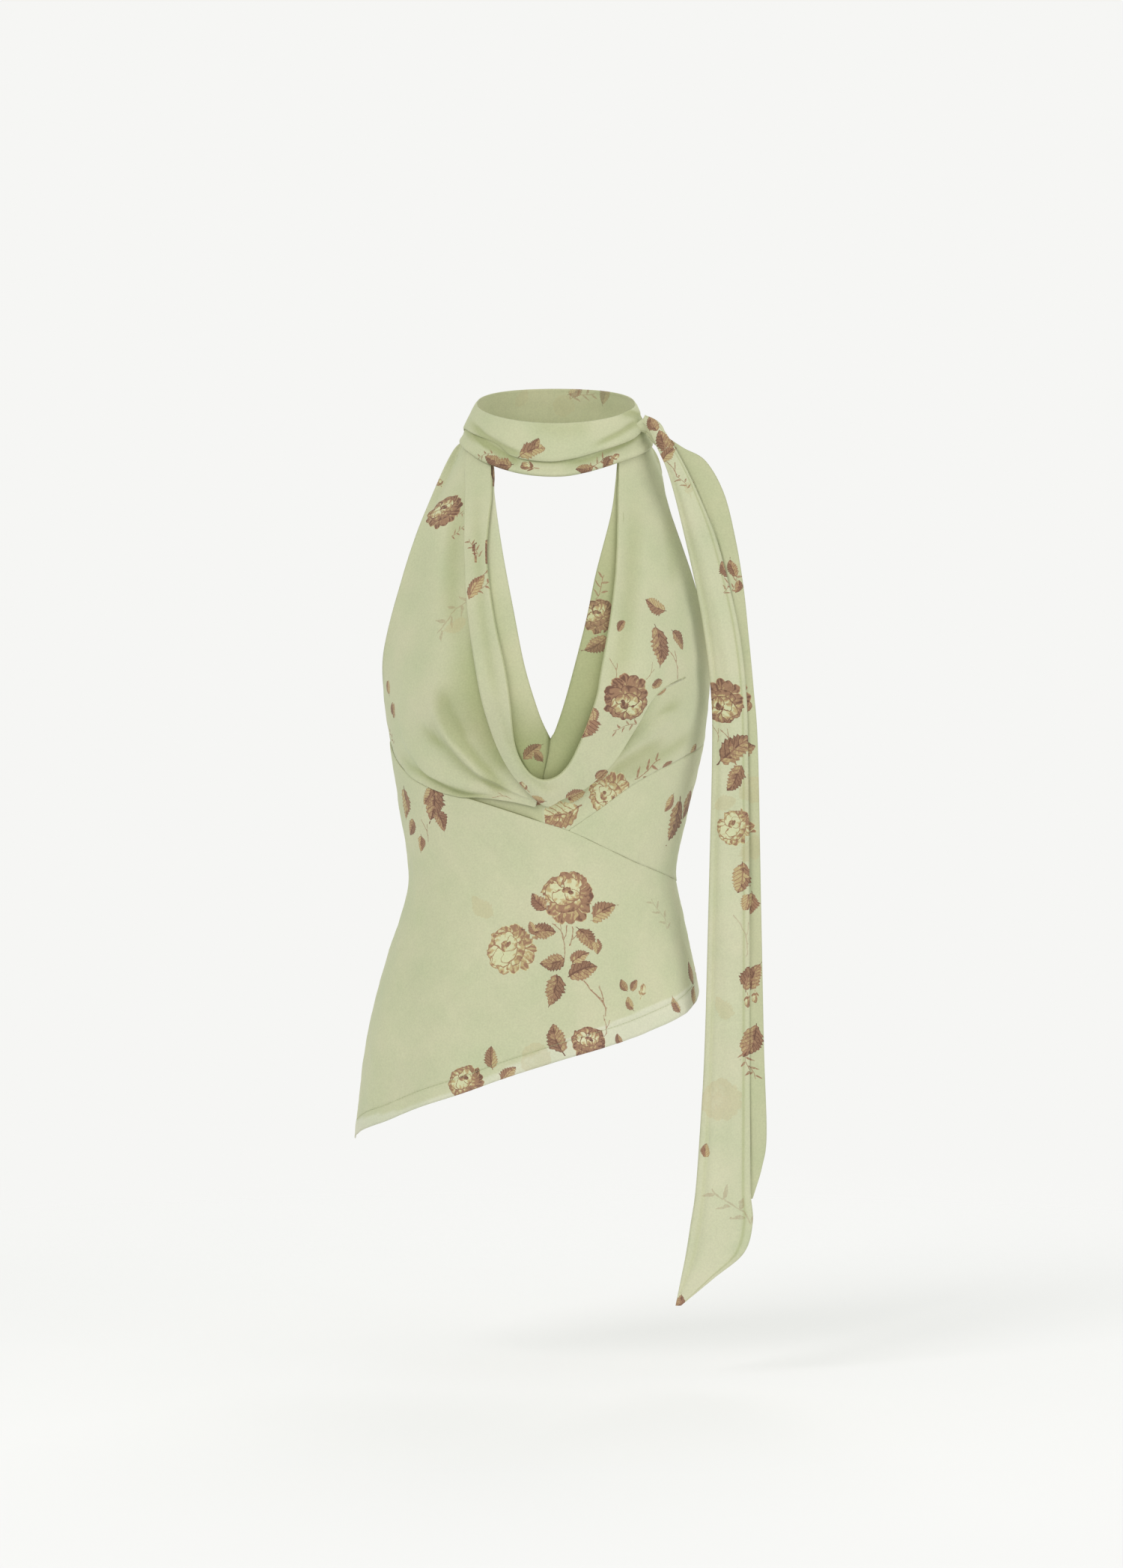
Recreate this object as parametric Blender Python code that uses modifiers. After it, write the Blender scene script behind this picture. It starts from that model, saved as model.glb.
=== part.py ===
"""Cowl neck top: a halter top in light printed crepe, filled out as it is worn.

Metres, +Z up. The front faces -Y and +X is the viewer's right. The origin is at the
height of the neck, on the middle line of the body. Tables below are in millimetres.
"""
import math

import bmesh
import bpy
import numpy as np

MM = 0.001

# Cloth
WALL = 1.2              # thickness of the double crepe wall
SEAM_GAP = 0.3          # space between two pieces that are sewn together
SIDE_SEAM_DEPTH = 85    # depth of the body beside a side seam, which turns the gap into an angle

# Neck ring, on which the scarf is wound
NECK_X, NECK_Y = 8.5, 7.0
NECK_HALF_WIDTH = 72.5
NECK_HALF_DEPTH = 60.0
NECK_LEVEL = 25.0       # height at which the half width holds
NECK_FLARE_SIDE = 0.40  # growth of the half width for each millimetre down
NECK_FLARE_FRONT = 0.10
RIM_LEVEL, RIM_TILT, RIM_SIDE_LIFT = 22.0, 17.0, 4.0

# Body rings: height, half width to the left and to the right, depth in front and behind
BODY = (
    # z, left, right, front, back
    (60, 66, 66, 50, 60),
    (0, 78, 78, 58, 64),
    (-45, 103, 103, 73, 72),
    (-85, 117, 117, 88, 80),
    (-126, 130.5, 130.5, 102, 86),
    (-181, 145, 145, 118, 90),
    (-235, 150, 150, 121, 90),
    (-285, 143.5, 144, 109, 87),
    (-345, 134.5, 130, 95, 80),
    (-407, 125.5, 118.5, 89, 74),
    (-440, 132, 124.5, 92, 79),
    (-475, 144, 132, 97, 88),
    (-510, 154, 139, 102, 94),
    (-545, 162.5, 144, 106, 98),
    (-578, 168, 148, 108, 101),
    (-650, 176, 152, 110, 104),
)
BUST = {"x": 92, "z": -225, "wide": 42, "tall": 52, "proud": 16}

# How far forward the armhole edge runs at each height
ARMHOLE = (
    # z, forward
    (0, 4),
    (-40, 22),
    (-95, 42),
    (-135, 46),
    (-208, 32),
    (-250, 10),
    (-284, 0),
)
NECK_BLEND_TOP, NECK_BLEND_BOTTOM = -30, -95

# Seams and hems as heights round the body: 0 is the front, 90 the viewer's right
WAIST_SEAM = (
    # turn, z
    (-90, -284), (-80, -295), (-70, -307), (-51, -323.5), (-32.5, -332), (-17, -342),
    (-1, -354), (9, -361), (29, -380), (47, -394), (76, -408), (90, -412),
)
MIDRIFF_TIP = 20.4      # x of the point where the two seams meet
BUST_SEAM = (
    # turn, z
    (9, -361), (21, -343), (36, -319), (51, -304), (72, -291), (90, -284),
)
HEM = (
    # turn, z
    (-90, -648), (-60, -629), (-42, -612), (-26, -597), (-12, -582), (2, -569),
    (20, -556), (38, -544), (56, -532), (74, -521), (90, -511), (120, -525),
    (150, -547), (180, -575), (210, -603), (240, -630), (270, -648),
)
BACK_TOP_SIDE, BACK_TOP_DIP = -284, 16
SKIRT_WAVES = (
    # turn, width, height
    (-66, 9, 3.0), (-38, 12, 2.2), (22, 13, 2.2), (57, 9, 2.6),
    (118, 11, 2.6), (152, 12, 2.2), (205, 13, 2.4), (243, 10, 3.0),
)

# Left front: lines from the armhole edge to the edge under the cowl, with two folds between
LEFT_FRONT = (
    # edge x, z, low fold x, z, high fold x, z, inner x, z, fold height, lift
    (-73, -8, -71, -9.5, -69, -11, -64, -14, 0, -1.6),
    (-86, -20, -81, -24, -76, -28, -66, -31, 0, -1.2),
    (-104.6, -60, -94, -60, -81, -60, -66, -60, 0, 0),
    (-128.3, -126.5, -110, -122, -89, -117, -66, -113, 0, 0),
    (-148.6, -208, -124, -196, -95, -182, -62, -168, 0.4, 0),
    (-144, -280, -131, -266, -103, -238, -58, -196, 1.5, 0),
    (-128, -309.5, -113, -304, -93, -268, -51, -245, 4, 0),
    (-107, -323, -94, -317, -78, -290, -46, -266, 5, 0),
    (-82, -331, -72, -326, -60, -309, -36, -292, 5, 0),
    (-60, -332, -54, -328, -44, -318, -26, -303, 3.5, 0),
    (-33, -335, -31, -332, -25, -328, -16, -313, 1.6, 0),
    (-10, -340, -9, -338, -8, -334, -6, -324, 0.4, 0),
)
LEFT_LINES = (0, 0.13, 0.24, 0.29, 0.34, 0.41, 0.50, 0.57, 0.62, 0.67, 0.76, 0.88, 1)
LOW_FOLD, HIGH_FOLD = 0.34, 0.67

# Cowl: lines from its outer fold to its rim, down one strap, round the U and up the other
COWL = (
    # outer x, z, rim x, z, lift at the outer fold, at the crown and at the rim
    (-70, -9, -52, -20, 0.1, 0.1, -0.1),
    (-73.5, -31, -50.5, -37, 0.6, 0.6, 0.5),
    (-73, -60, -49, -62, 3.0, 4.0, 5.0),
    (-73, -113, -52, -113, 3.0, 6.5, 8.5),
    (-70, -166, -46, -170, 3.0, 7.0, 9.0),
    (-63.5, -213, -38, -213, 3.0, 7.0, 10.0),
    (-56, -250, -33, -246, 3.2, 7.0, 10.0),
    (-43, -287, -26, -283, 5.0, 8.5, 11.0),
    (-26.5, -315, -16, -305, 6.0, 9.5, 12.0),
    (-2, -338.5, -4, -315, 3.6, 9.5, 12.5),
    (14, -333, 5, -311, 3.2, 9.5, 12.5),
    (32, -325, 15, -300, 3.4, 9.5, 12.0),
    (54, -305, 26, -280, 4.6, 9.5, 11.5),
    (76, -273, 37, -258, 4.2, 8.0, 11.0),
    (97, -240, 45, -238, 3.2, 6.5, 10.5),
    (126, -223, 50, -218, 0.2, 4.5, 10.0),
    (150.5, -212, 53, -198, 0.0, 3.0, 9.5),
    (145.5, -181, 57, -165, 0.0, 2.5, 9.0),
    (132, -133, 61, -124, 0.0, 2.5, 8.0),
    (112, -72, 63.5, -79, 0.0, 2.0, 5.0),
    (103, -28, 65.5, -42, 0.0, 0.4, 0.8),
    (90.5, -8, 66, -22, 0.0, 0.0, -0.2),
)
COWL_LINES = (0, 0.08, 0.2, 0.35, 0.5, 0.65, 0.8, 0.92, 1)
RIM_RADIUS = 1.8        # radius of the rolled rim
RIM_TUCK = 4.0          # how far the cloth runs on behind the rim
RIM_FULL_LIFT = 5.0     # lift of the rim from which it is rolled right round
RIM_LEAST = 0.15        # share of the roll's length that the flat ends keep

# Right front: lines from under the cowl to the seams, with one fold between
RIGHT_FRONT = (
    # top x, z, fold x, z, seam x, z, fold height, set back
    (151.5, -214.6, 151, -243, 146, -283, 0, 0.3),
    (129, -226, 131, -252, 136.5, -291, 0.5, 1.9),
    (105, -234, 105, -266, 110, -303, 2.5, 1.6),
    (87, -251, 88, -278, 93, -311.5, 4, 0.6),
    (70, -268, 72, -290, 76, -322, 4, 0.3),
    (48, -299, 50, -311, 56, -337, 2.5, 0.8),
    (28, -317, 30, -326, 37, -350, 0.6, 1.5),
    (11, -326, 13, -338, 20, -360, 0, 2.4),
    (-5, -330, -4, -340, -1, -353.5, 0, 3.0),
    (-22, -329, -22, -336, -20, -347.5, 0, 3.0),
    (-40, -327, -40, -333, -40, -341.5, 0, 3.0),
    (-60, -326, -60, -330, -60, -335.5, 0, 2.8),
    (-76, -325, -76.5, -328, -77, -331, 0, 2.6),
)
RIGHT_LINES = (0, 0.12, 0.22, 0.33, 0.42, 0.48, 0.55, 0.66, 0.8, 1)
RIGHT_FOLD = 0.42

# Facings: the inner faces of the straps, from behind the rim to the edge of the opening
LEFT_FACING = (
    # rim x, z, edge x, z, lift at the rim and at the edge
    (-56, -20, -50, -23, -2.0, -2.0),
    (-55, -40, -48, -42, -2.4, -2.4),
    (-54, -62, -46.5, -62, 0.4, 0.2),
    (-56, -113, -38.6, -113, 3.0, 0.5),
    (-48, -166, -29, -163, 3.5, 0.5),
    (-41, -213, -19, -213, 3.5, 0.0),
    (-35, -250, -7, -253, 3.0, -1.5),
    (-27, -286, 1, -272, 2.0, -4.0),
    (-12, -314, 8, -285, 0.5, -6.0),
    (2, -322, 13, -300, -2.0, -7.0),
)
RIGHT_FACING = (
    # rim x, z, edge x, z, lift at the rim and at the edge
    (72, -20, 66, -23, -2.2, -2.2),
    (70, -48, 63.5, -50, -2.6, -2.6),
    (67, -79, 58, -79, 0.3, 0.1),
    (64.5, -124, 44.5, -129.5, 3.0, 0.5),
    (60.5, -165, 36, -169.5, 3.5, 0.5),
    (56, -203, 26, -209.5, 4.0, 0.5),
    (49, -240, 16, -246, 4.0, 0.5),
    (36, -275, 8, -270, 4.0, 0.0),
    (20, -304, 4, -278, 3.5, -0.5),
    (7, -318, 2, -292, 3.0, -0.5),
    (0, -322, -2.5, -312, 3.0, 1.0),
)
FACING_LINES = 5

# Scarf round the neck: height of the two edges at each turn, and how far out each edge lies
UPPER_WRAP = (
    # turn, bottom z, out at the top, out at the bottom
    (-97, 6, 0.4, 2.6),
    (-75, 3, 0.4, 3.4),
    (-40, -12, 0.4, 4.2),
    (-24, -25, 0.6, 4.6),
    (-5, -30, 0.8, 4.8),
    (10, -27, 0.8, 4.8),
    (28, -19, 0.8, 4.4),
    (52, -9, 1.0, 4.0),
    (76, 3, 1.2, 3.6),
)
LOWER_WRAP = (
    # turn, top z, bottom z, out at the top, in the furrow and at the bottom
    (-97, 1, -9, 0.2, 0.8, 1.4),
    (-78, 3, -14, 0.4, 0.9, 2.0),
    (-60, -3, -21, 0.6, 1.0, 2.4),
    (-40, -8, -31.5, 0.6, 1.2, 3.0),
    (-18, -22, -41, 0.7, 1.6, 3.6),
    (0, -25, -43.6, 0.7, 1.6, 3.8),
    (14, -20, -40.5, 0.7, 1.6, 3.6),
    (38, -9, -30, 0.7, 1.2, 3.0),
    (62, 1, -21, 0.7, 1.0, 2.6),
    (80, 6, -15, 0.8, 1.0, 2.4),
)
NAPE_BAND = {"from": 84, "to": 262, "side_bottom": -11, "back_bottom": -6, "out": 0.6}

# Knot and the two layers of the tail: the outline of each from the knot to its tip
KNOT = {"x": 98.1, "y": -14.7, "z": -3, "half_x": 7.2, "half_y": 13.5, "half_z": 14, "tilt": 20}
TAIL = (
    # left x, z, right x, z, depth, crown
    (92, 0, 97, 8, -30, 0.6),
    (101, -19, 111.5, -9, -37, 2.0),
    (108, -35, 126, -35, -45, 3.0),
    (115, -58, 138.5, -62, -52, 4.0),
    (124, -95, 153, -98.5, -58, 4.5),
    (135, -144, 165.5, -144, -62, 4.5),
    (142.5, -187, 174.5, -187, -63, 4.5),
    (148, -234, 180, -234, -63, 4.5),
    (149.5, -288, 182, -288, -63, 4.0),
    (146.5, -424, 183.5, -424, -62, 3.5),
    (143, -560, 184, -560, -61, 3.0),
    (139, -634, 184.5, -634, -60, 3.0),
    (135, -689, 185, -689, -60, 3.5),
    (130.5, -720, 187, -718, -60, 3.5),
    (126.5, -746, 179, -746, -60, 3.0),
    (122, -769, 152, -769, -60, 2.0),
    (117, -794, 122, -794, -60, 0.6),
)
UNDER_TAIL = (
    # left x, z, right x, z, depth, crown
    (98, -6, 106, -5, -28.5, 0.5),
    (106, -20, 124, -17, -34, 1.0),
    (118, -42, 144, -29, -40, 2.0),
    (129, -70, 160.5, -58.5, -47, 3.0),
    (142, -106, 171, -101, -53, 3.0),
    (153, -150, 178, -144, -57, 2.5),
    (160, -187, 182.5, -187, -58, 2.0),
    (164, -234, 187, -234, -58.5, 2.0),
    (166, -288, 191, -288, -58.5, 2.0),
    (166, -424, 194, -424, -57.5, 2.0),
    (166, -560, 197, -560, -57, 2.0),
    (167, -634, 199.5, -638, -56, 2.5),
    (172, -668, 195.5, -668, -56, 2.0),
    (180, -698, 187, -697, -56, 0.5),
)

# Colour of each piece of cloth
CLOTH_COLOURS = {
    "cowl": (0.60, 0.62, 0.44),
    "front": (0.55, 0.60, 0.40),
    "facing": (0.45, 0.52, 0.32),
    "skirt": (0.58, 0.61, 0.42),
    "back": (0.50, 0.55, 0.37),
    "scarf": (0.57, 0.61, 0.42),
}
CLOTH_ROUGHNESS = 0.72


def clear_scene():
    for obj in list(bpy.data.objects):
        bpy.data.objects.remove(obj, do_unlink=True)


def column(table, index, key_index=0):
    """Two arrays, sorted by the key: keys and the values of one column."""
    rows = sorted((row[key_index], row[index]) for row in table)
    return np.array([r[0] for r in rows], float), np.array([r[1] for r in rows], float)


def smooth_value(keys, values, at):
    """A cubic through unevenly spaced rows, with slopes that never overshoot."""
    at = min(max(at, keys[0]), keys[-1])
    i = int(min(max(np.searchsorted(keys, at) - 1, 0), len(keys) - 2))
    steps = np.diff(keys)
    slopes = np.diff(values) / steps

    def slope_at(k):
        if k == 0 or k == len(keys) - 1:
            return slopes[0] if k == 0 else slopes[-1]
        before, after = slopes[k - 1], slopes[k]
        if before * after <= 0:
            return 0.0
        return 2 * before * after / (before + after)

    span = steps[i]
    t = (at - keys[i]) / span
    a, b = values[i], values[i + 1]
    m, n = slope_at(i) * span, slope_at(i + 1) * span
    return ((2 * t**3 - 3 * t**2 + 1) * a + (t**3 - 2 * t**2 + t) * m
            + (3 * t**2 - 2 * t**3) * b + (t**3 - t**2) * n)


def row_between(table, v):
    """A smooth row of the table at v, counted in rows from its first."""
    rows = np.array(table, float)
    last = len(rows) - 1
    i = int(min(max(math.floor(v), 0), last - 1))
    t = v - i
    a = rows[max(i - 1, 0)] if i > 0 else 2 * rows[0] - rows[1]
    b, c = rows[i], rows[i + 1]
    d = rows[i + 2] if i + 2 <= last else 2 * rows[last] - rows[last - 1]
    return 0.5 * (2 * b + (c - a) * t + (2 * a - 5 * b + 4 * c - d) * t**2
                  + (3 * b - a - 3 * c + d) * t**3)


def body_size(name, z):
    keys, values = column(BODY, {"left": 1, "right": 2, "front": 3, "back": 4}[name])
    return smooth_value(keys, values, z)


def height_at(table, turn):
    keys, values = column(table, 1)
    return smooth_value(keys, values, turn)


def soft_step(x):
    x = min(max(x, 0.0), 1.0)
    return x * x * (3 - 2 * x)


def neck_depth(x, z, inset):
    """The y of the neck ring's front half at x, moved inwards by inset."""
    half_width = NECK_HALF_WIDTH + NECK_FLARE_SIDE * (NECK_LEVEL - z) - inset
    half_depth = NECK_HALF_DEPTH - NECK_FLARE_FRONT * z - inset
    share = min(1.0, abs(x - NECK_X) / half_width)
    return NECK_Y - half_depth * math.sqrt(1 - share**2)


def bust_form(x, z):
    across, down = (abs(x) - BUST["x"]) / BUST["wide"], (z - BUST["z"]) / BUST["tall"]
    return BUST["proud"] * math.exp(-(across**2) - down**2)


def seam_height(x, seam):
    """The height of a seam of the front where it passes x."""
    z = -320
    for _ in range(4):
        half = body_size("left" if x < 0 else "right", z)
        z = height_at(seam, math.degrees(math.asin(min(1, max(-1, x / half)))))
    return z


def chest_depth(x, z):
    """The y of the front of the filled garment at x and z, with no fold."""
    half = body_size("left" if x < 0 else "right", z)
    share = min(1.0, abs(x) / half)
    form = body_size("front", z) * math.sqrt(1 - share**2)
    form += bust_form(x, z)
    keys, values = column(ARMHOLE, 1)
    edge = smooth_value(keys, values, z)
    chest = -((form**4 + edge**4) ** 0.25)
    if z < NECK_BLEND_BOTTOM:
        return chest
    low = soft_step((NECK_BLEND_TOP - z) / (NECK_BLEND_TOP - NECK_BLEND_BOTTOM))
    return low * chest + (1 - low) * neck_depth(x, z, 1.4)


def chest_point(x, z, lift):
    """A point of the front, lifted off the filled form square to it."""
    slope = chest_depth(x + 0.4, z) - chest_depth(x - 0.4, z)
    length = math.hypot(slope, 0.8)
    return x + lift * slope / length, chest_depth(x, z) - lift * 0.8 / length, z


def ring_point(turn, z, out=0.0):
    """A point of the body's rings below the bust, at a turn from the front."""
    angle = math.radians(turn)
    half = body_size("left" if math.sin(angle) < 0 else "right", z) + out
    depth = body_size("front" if math.cos(angle) > 0 else "back", z) + out
    x, y = half * math.sin(angle), -depth * math.cos(angle)
    return x, y - (bust_form(x, z) if y < 0 else 0), z


def neck_point(turn, z, out):
    """A point of the scarf's ring, at a turn from the front."""
    angle = math.radians(turn)
    half_width = NECK_HALF_WIDTH + NECK_FLARE_SIDE * (NECK_LEVEL - z) + out
    half_depth = NECK_HALF_DEPTH - NECK_FLARE_FRONT * z + out
    return (NECK_X + half_width * math.sin(angle), NECK_Y - half_depth * math.cos(angle), z)


def rim_height(turn):
    """The top edge of the scarf, higher behind than in front."""
    angle = math.radians(turn)
    return RIM_LEVEL - RIM_TILT * math.cos(angle) + RIM_SIDE_LIFT * math.sin(angle) ** 2


def cloth_material(kind):
    name = "Crepe_" + kind
    material = bpy.data.materials.get(name) or bpy.data.materials.new(name)
    material.use_nodes = True
    shader = material.node_tree.nodes["Principled BSDF"]
    shader.inputs["Base Color"].default_value = (*CLOTH_COLOURS[kind], 1)
    shader.inputs["Roughness"].default_value = CLOTH_ROUGHNESS
    shader.inputs["Metallic"].default_value = 0
    return material


def part_object(name, mesh, kind):
    mesh.materials.append(cloth_material(kind))
    mesh.shade_smooth()
    obj = bpy.data.objects.new(name, mesh)
    bpy.data.collections["Cowl_neck_top"].objects.link(obj)
    return obj


def cloth_panel(name, rows, kind, wall=WALL):
    """A wall of cloth whose outer side is the grid of points given, in millimetres."""
    points = np.array(rows, float) * MM
    down, across = points.shape[:2]
    shell = bmesh.new()
    verts = [[shell.verts.new(points[i, j]) for j in range(across)] for i in range(down)]
    for i in range(down - 1):
        for j in range(across - 1):
            shell.faces.new((verts[i][j], verts[i][j + 1], verts[i + 1][j + 1], verts[i + 1][j]))
    shell.normal_update()
    outward = 0.0
    for face in shell.faces:
        middle = face.calc_center_median()
        outward += face.calc_area() * (face.normal.x * middle.x
                                       + face.normal.y * (middle.y - NECK_Y * MM))
    if outward < 0:
        bmesh.ops.reverse_faces(shell, faces=shell.faces[:])
    mesh = bpy.data.meshes.new(name)
    shell.to_mesh(mesh)
    shell.free()
    obj = part_object(name, mesh, kind)
    solidify = obj.modifiers.new("Wall", "SOLIDIFY")
    solidify.thickness = wall * MM
    solidify.offset = -1
    solidify.use_even_offset = True
    return obj


def fold_edge(t, line, height, wide, sharp, rises):
    """A soft fold: it falls slowly on the side that rises points to and fast on the other."""
    distance = (t - line) * rises
    return height * math.exp(-((distance / (wide if distance > 0 else sharp)) ** 2))


def between(places, values, t):
    """A smooth value at t, through values that stand at the places."""
    return smooth_value(np.array(places, float), np.array(values, float), t)


def build_left_front(steps):
    rows = []
    for k in range(steps + 1):
        ex, ez, lx, lz, hx, hz, ix, iz, fold, lay = row_between(
            LEFT_FRONT, k * (len(LEFT_FRONT) - 1) / steps)
        places = (0, LOW_FOLD, HIGH_FOLD, 1)
        row = []
        for t in LEFT_LINES:
            x = between(places, (ex, lx, hx, ix), t)
            z = between(places, (ez, lz, hz, iz), t)
            z = max(z, seam_height(x, WAIST_SEAM) + SEAM_GAP)
            lift = lay + fold_edge(t, LOW_FOLD, fold, 0.16, 0.045, 1)
            lift += fold_edge(t, HIGH_FOLD, fold, 0.14, 0.045, 1)
            row.append(chest_point(x, z, lift))
        rows.append(row)
    cloth_panel("front_left", rows, "front")


def rim_roll(share):
    """How far the cloth goes on and back past the rim, where share of the roll is made."""
    points, ahead, back = [], 0.0, 0.0
    turn = math.pi * share
    step = math.pi * RIM_RADIUS * max(share, RIM_LEAST) / 3
    for k in range(3):
        heading = turn * (k + 0.5) / 3
        ahead += step * math.cos(heading)
        back += step * math.sin(heading)
        points.append((ahead, back))
    tuck = RIM_TUCK * max(share, RIM_LEAST) ** 3
    points.append((ahead + tuck * math.cos(turn), back + tuck * math.sin(turn)))
    return points


def build_cowl(steps):
    rows = []
    for k in range(steps + 1):
        ox, oz, rx, rz, low, crown, high = row_between(COWL, k * (len(COWL) - 1) / steps)
        row = []
        for t in COWL_LINES:
            x, z = ox + (rx - ox) * t, oz + (rz - oz) * t
            row.append(chest_point(x, z, between((0, 0.5, 1), (low, crown, high), t)))
        width = math.hypot(rx - ox, rz - oz)
        ux, uz = (rx - ox) / width, (rz - oz) / width
        x, y, z = row[-1]
        for ahead, back in rim_roll(soft_step(high / RIM_FULL_LIFT)):
            row.append((x + ux * ahead, y + back, z + uz * ahead))
        rows.append(row)
    cloth_panel("cowl_drape", rows, "cowl")


def build_right_front(steps):
    rows = []
    for k in range(steps + 1):
        tx, tz, fx, fz, sx, sz, fold, back = row_between(
            RIGHT_FRONT, k * (len(RIGHT_FRONT) - 1) / steps)
        places = (0, RIGHT_FOLD, 1)
        row = []
        for t in RIGHT_LINES:
            x = between(places, (tx, fx, sx), t)
            z = between(places, (tz, fz, sz), t)
            seam = BUST_SEAM if x > MIDRIFF_TIP else WAIST_SEAM
            z = max(z, seam_height(x, seam) + 2 * SEAM_GAP)
            lift = fold_edge(t, RIGHT_FOLD, fold, 0.2, 0.06, -1) - back
            row.append(chest_point(x, z, lift))
        rows.append(row)
    cloth_panel("front_right", rows, "front")


def build_facing(name, table, steps):
    rows = []
    for k in range(steps + 1):
        rx, rz, ex, ez, at_rim, at_edge = row_between(table, k * (len(table) - 1) / steps)
        row = []
        for j in range(FACING_LINES + 1):
            t = j / FACING_LINES
            x, z = rx + (ex - rx) * t, rz + (ez - rz) * t
            row.append(chest_point(x, z, at_rim + (at_edge - at_rim) * t))
        rows.append(row)
    cloth_panel(name, rows, "facing")


def wave(turn, z, top, bottom):
    """The skirt's soft waves, flat at the top and fullest at the hem."""
    share = (top - z) / (top - bottom)
    total = 0.0
    for centre, width, height in SKIRT_WAVES:
        total += height * math.exp(-(((turn - centre) / width) ** 2))
    return total * soft_step(share)


def build_round_panel(name, kind, turns, top, bottom, steps_down, waves=True):
    """A panel of the body's rings between two heights, each a function of the turn."""
    rows = []
    for turn in turns:
        high, low = top(turn) - SEAM_GAP / 2, bottom(turn)
        row = []
        for j in range(steps_down + 1):
            z = high + (low - high) * j / steps_down
            out = wave(turn, z, high, low) if waves else 0.0
            row.append(ring_point(turn, z, out))
        rows.append(row)
    cloth_panel(name, rows, kind)


def spread(start, end, steps):
    return [start + (end - start) * k / steps for k in range(steps + 1)]


def build_skirt_and_back():
    edge = math.degrees(SEAM_GAP / SIDE_SEAM_DEPTH)
    build_round_panel("skirt_front", "skirt", spread(-90 + edge, 90 - edge, 30),
                      lambda turn: height_at(WAIST_SEAM, turn),
                      lambda turn: height_at(HEM, turn), 15)
    build_round_panel("back_panel", "back", spread(90 + edge, 270 - edge, 24),
                      lambda turn: BACK_TOP_SIDE + BACK_TOP_DIP * math.cos(math.radians(turn)),
                      lambda turn: height_at(HEM, turn), 15)
    build_round_panel("midriff_right", "front", spread(12, 90 - edge, 14),
                      lambda turn: height_at(BUST_SEAM, turn),
                      lambda turn: height_at(WAIST_SEAM, turn) + SEAM_GAP, 6, False)


def build_upper_wrap(steps, lines):
    rows = []
    for k in range(steps + 1):
        turn, low, out_top, out_low = row_between(
            UPPER_WRAP, k * (len(UPPER_WRAP) - 1) / steps)
        high = rim_height(turn)
        row = []
        for j in range(lines + 1):
            t = j / lines
            out = out_top + (out_low - out_top) * math.sin(t * math.pi / 2)
            row.append(neck_point(turn, high + (low - high) * t, out))
        rows.append(row)
    cloth_panel("scarf_upper_wrap", rows, "scarf")


def build_lower_wrap(steps, lines):
    rows = []
    for k in range(steps + 1):
        turn, high, low, out_top, furrow, out_low = row_between(
            LOWER_WRAP, k * (len(LOWER_WRAP) - 1) / steps)
        row = []
        for j in range(lines + 1):
            t = j / lines
            out = between((0, 0.4, 0.55, 0.85, 1), (out_top, furrow, furrow * 0.7, out_low,
                                                    out_low - 0.8), t)
            row.append(neck_point(turn, high + (low - high) * t, out))
        rows.append(row)
    cloth_panel("scarf_lower_wrap", rows, "scarf")


def build_nape_band(steps, lines):
    rows = []
    for turn in spread(NAPE_BAND["from"], NAPE_BAND["to"], steps):
        high = rim_height(turn)
        behind = -math.cos(math.radians(turn))
        low = NAPE_BAND["side_bottom"] + (NAPE_BAND["back_bottom"]
                                          - NAPE_BAND["side_bottom"]) * behind
        rows.append([neck_point(turn, high + (low - high) * j / lines, NAPE_BAND["out"])
                     for j in range(lines + 1)])
    cloth_panel("scarf_nape_band", rows, "scarf")


def build_knot():
    """The wraps' ends drawn together: a rounded lump with furrows along the tail."""
    bpy.ops.mesh.primitive_uv_sphere_add(segments=18, ring_count=12, radius=1)
    obj = bpy.context.object
    obj.name = "scarf_knot"
    mesh = obj.data
    tilt = math.radians(KNOT["tilt"])
    for vert in mesh.vertices:
        x, y, z = vert.co
        turn = math.atan2(y, x)
        pinch = 1 - 0.12 * (0.5 + 0.5 * math.cos(5 * turn)) * (1 - z * z)
        x, y, z = x * KNOT["half_x"] * pinch, y * KNOT["half_y"] * pinch, z * KNOT["half_z"]
        x, z = (x * math.cos(tilt) - z * math.sin(tilt),
                x * math.sin(tilt) + z * math.cos(tilt))
        vert.co = ((x + KNOT["x"]) * MM, (y + KNOT["y"]) * MM, (z + KNOT["z"]) * MM)
    mesh.materials.append(cloth_material("scarf"))
    mesh.shade_smooth()
    for owner in list(obj.users_collection):
        owner.objects.unlink(obj)
    bpy.data.collections["Cowl_neck_top"].objects.link(obj)


def build_tail(name, table, steps, lines):
    rows = []
    for k in range(steps + 1):
        lx, lz, rx, rz, depth, crown = row_between(table, k * (len(table) - 1) / steps)
        row = []
        for j in range(lines + 1):
            t = j / lines
            row.append((lx + (rx - lx) * t, depth - crown * math.sin(math.pi * t),
                        lz + (rz - lz) * t))
        rows.append(row)
    cloth_panel(name, rows, "scarf")


def main():
    clear_scene()
    parts = bpy.data.collections.new("Cowl_neck_top")
    bpy.context.scene.collection.children.link(parts)
    build_left_front(20)
    build_cowl(44)
    build_right_front(24)
    build_facing("facing_left", LEFT_FACING, 16)
    build_facing("facing_right", RIGHT_FACING, 18)
    build_skirt_and_back()
    build_upper_wrap(22, 5)
    build_lower_wrap(24, 7)
    build_nape_band(18, 4)
    build_knot()
    build_tail("scarf_tail", TAIL, 32, 6)
    build_tail("scarf_tail_under", UNDER_TAIL, 26, 4)


main()
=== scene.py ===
"""Cowl neck top: the looks of a halter top in light printed crepe, with its cowl, slanting hem and
neck scarf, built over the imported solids. Lengths in the tables are millimetres, as the maker
measures cloth; everything in the scene is metres, +Z up, with the front facing -Y."""
import math

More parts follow.
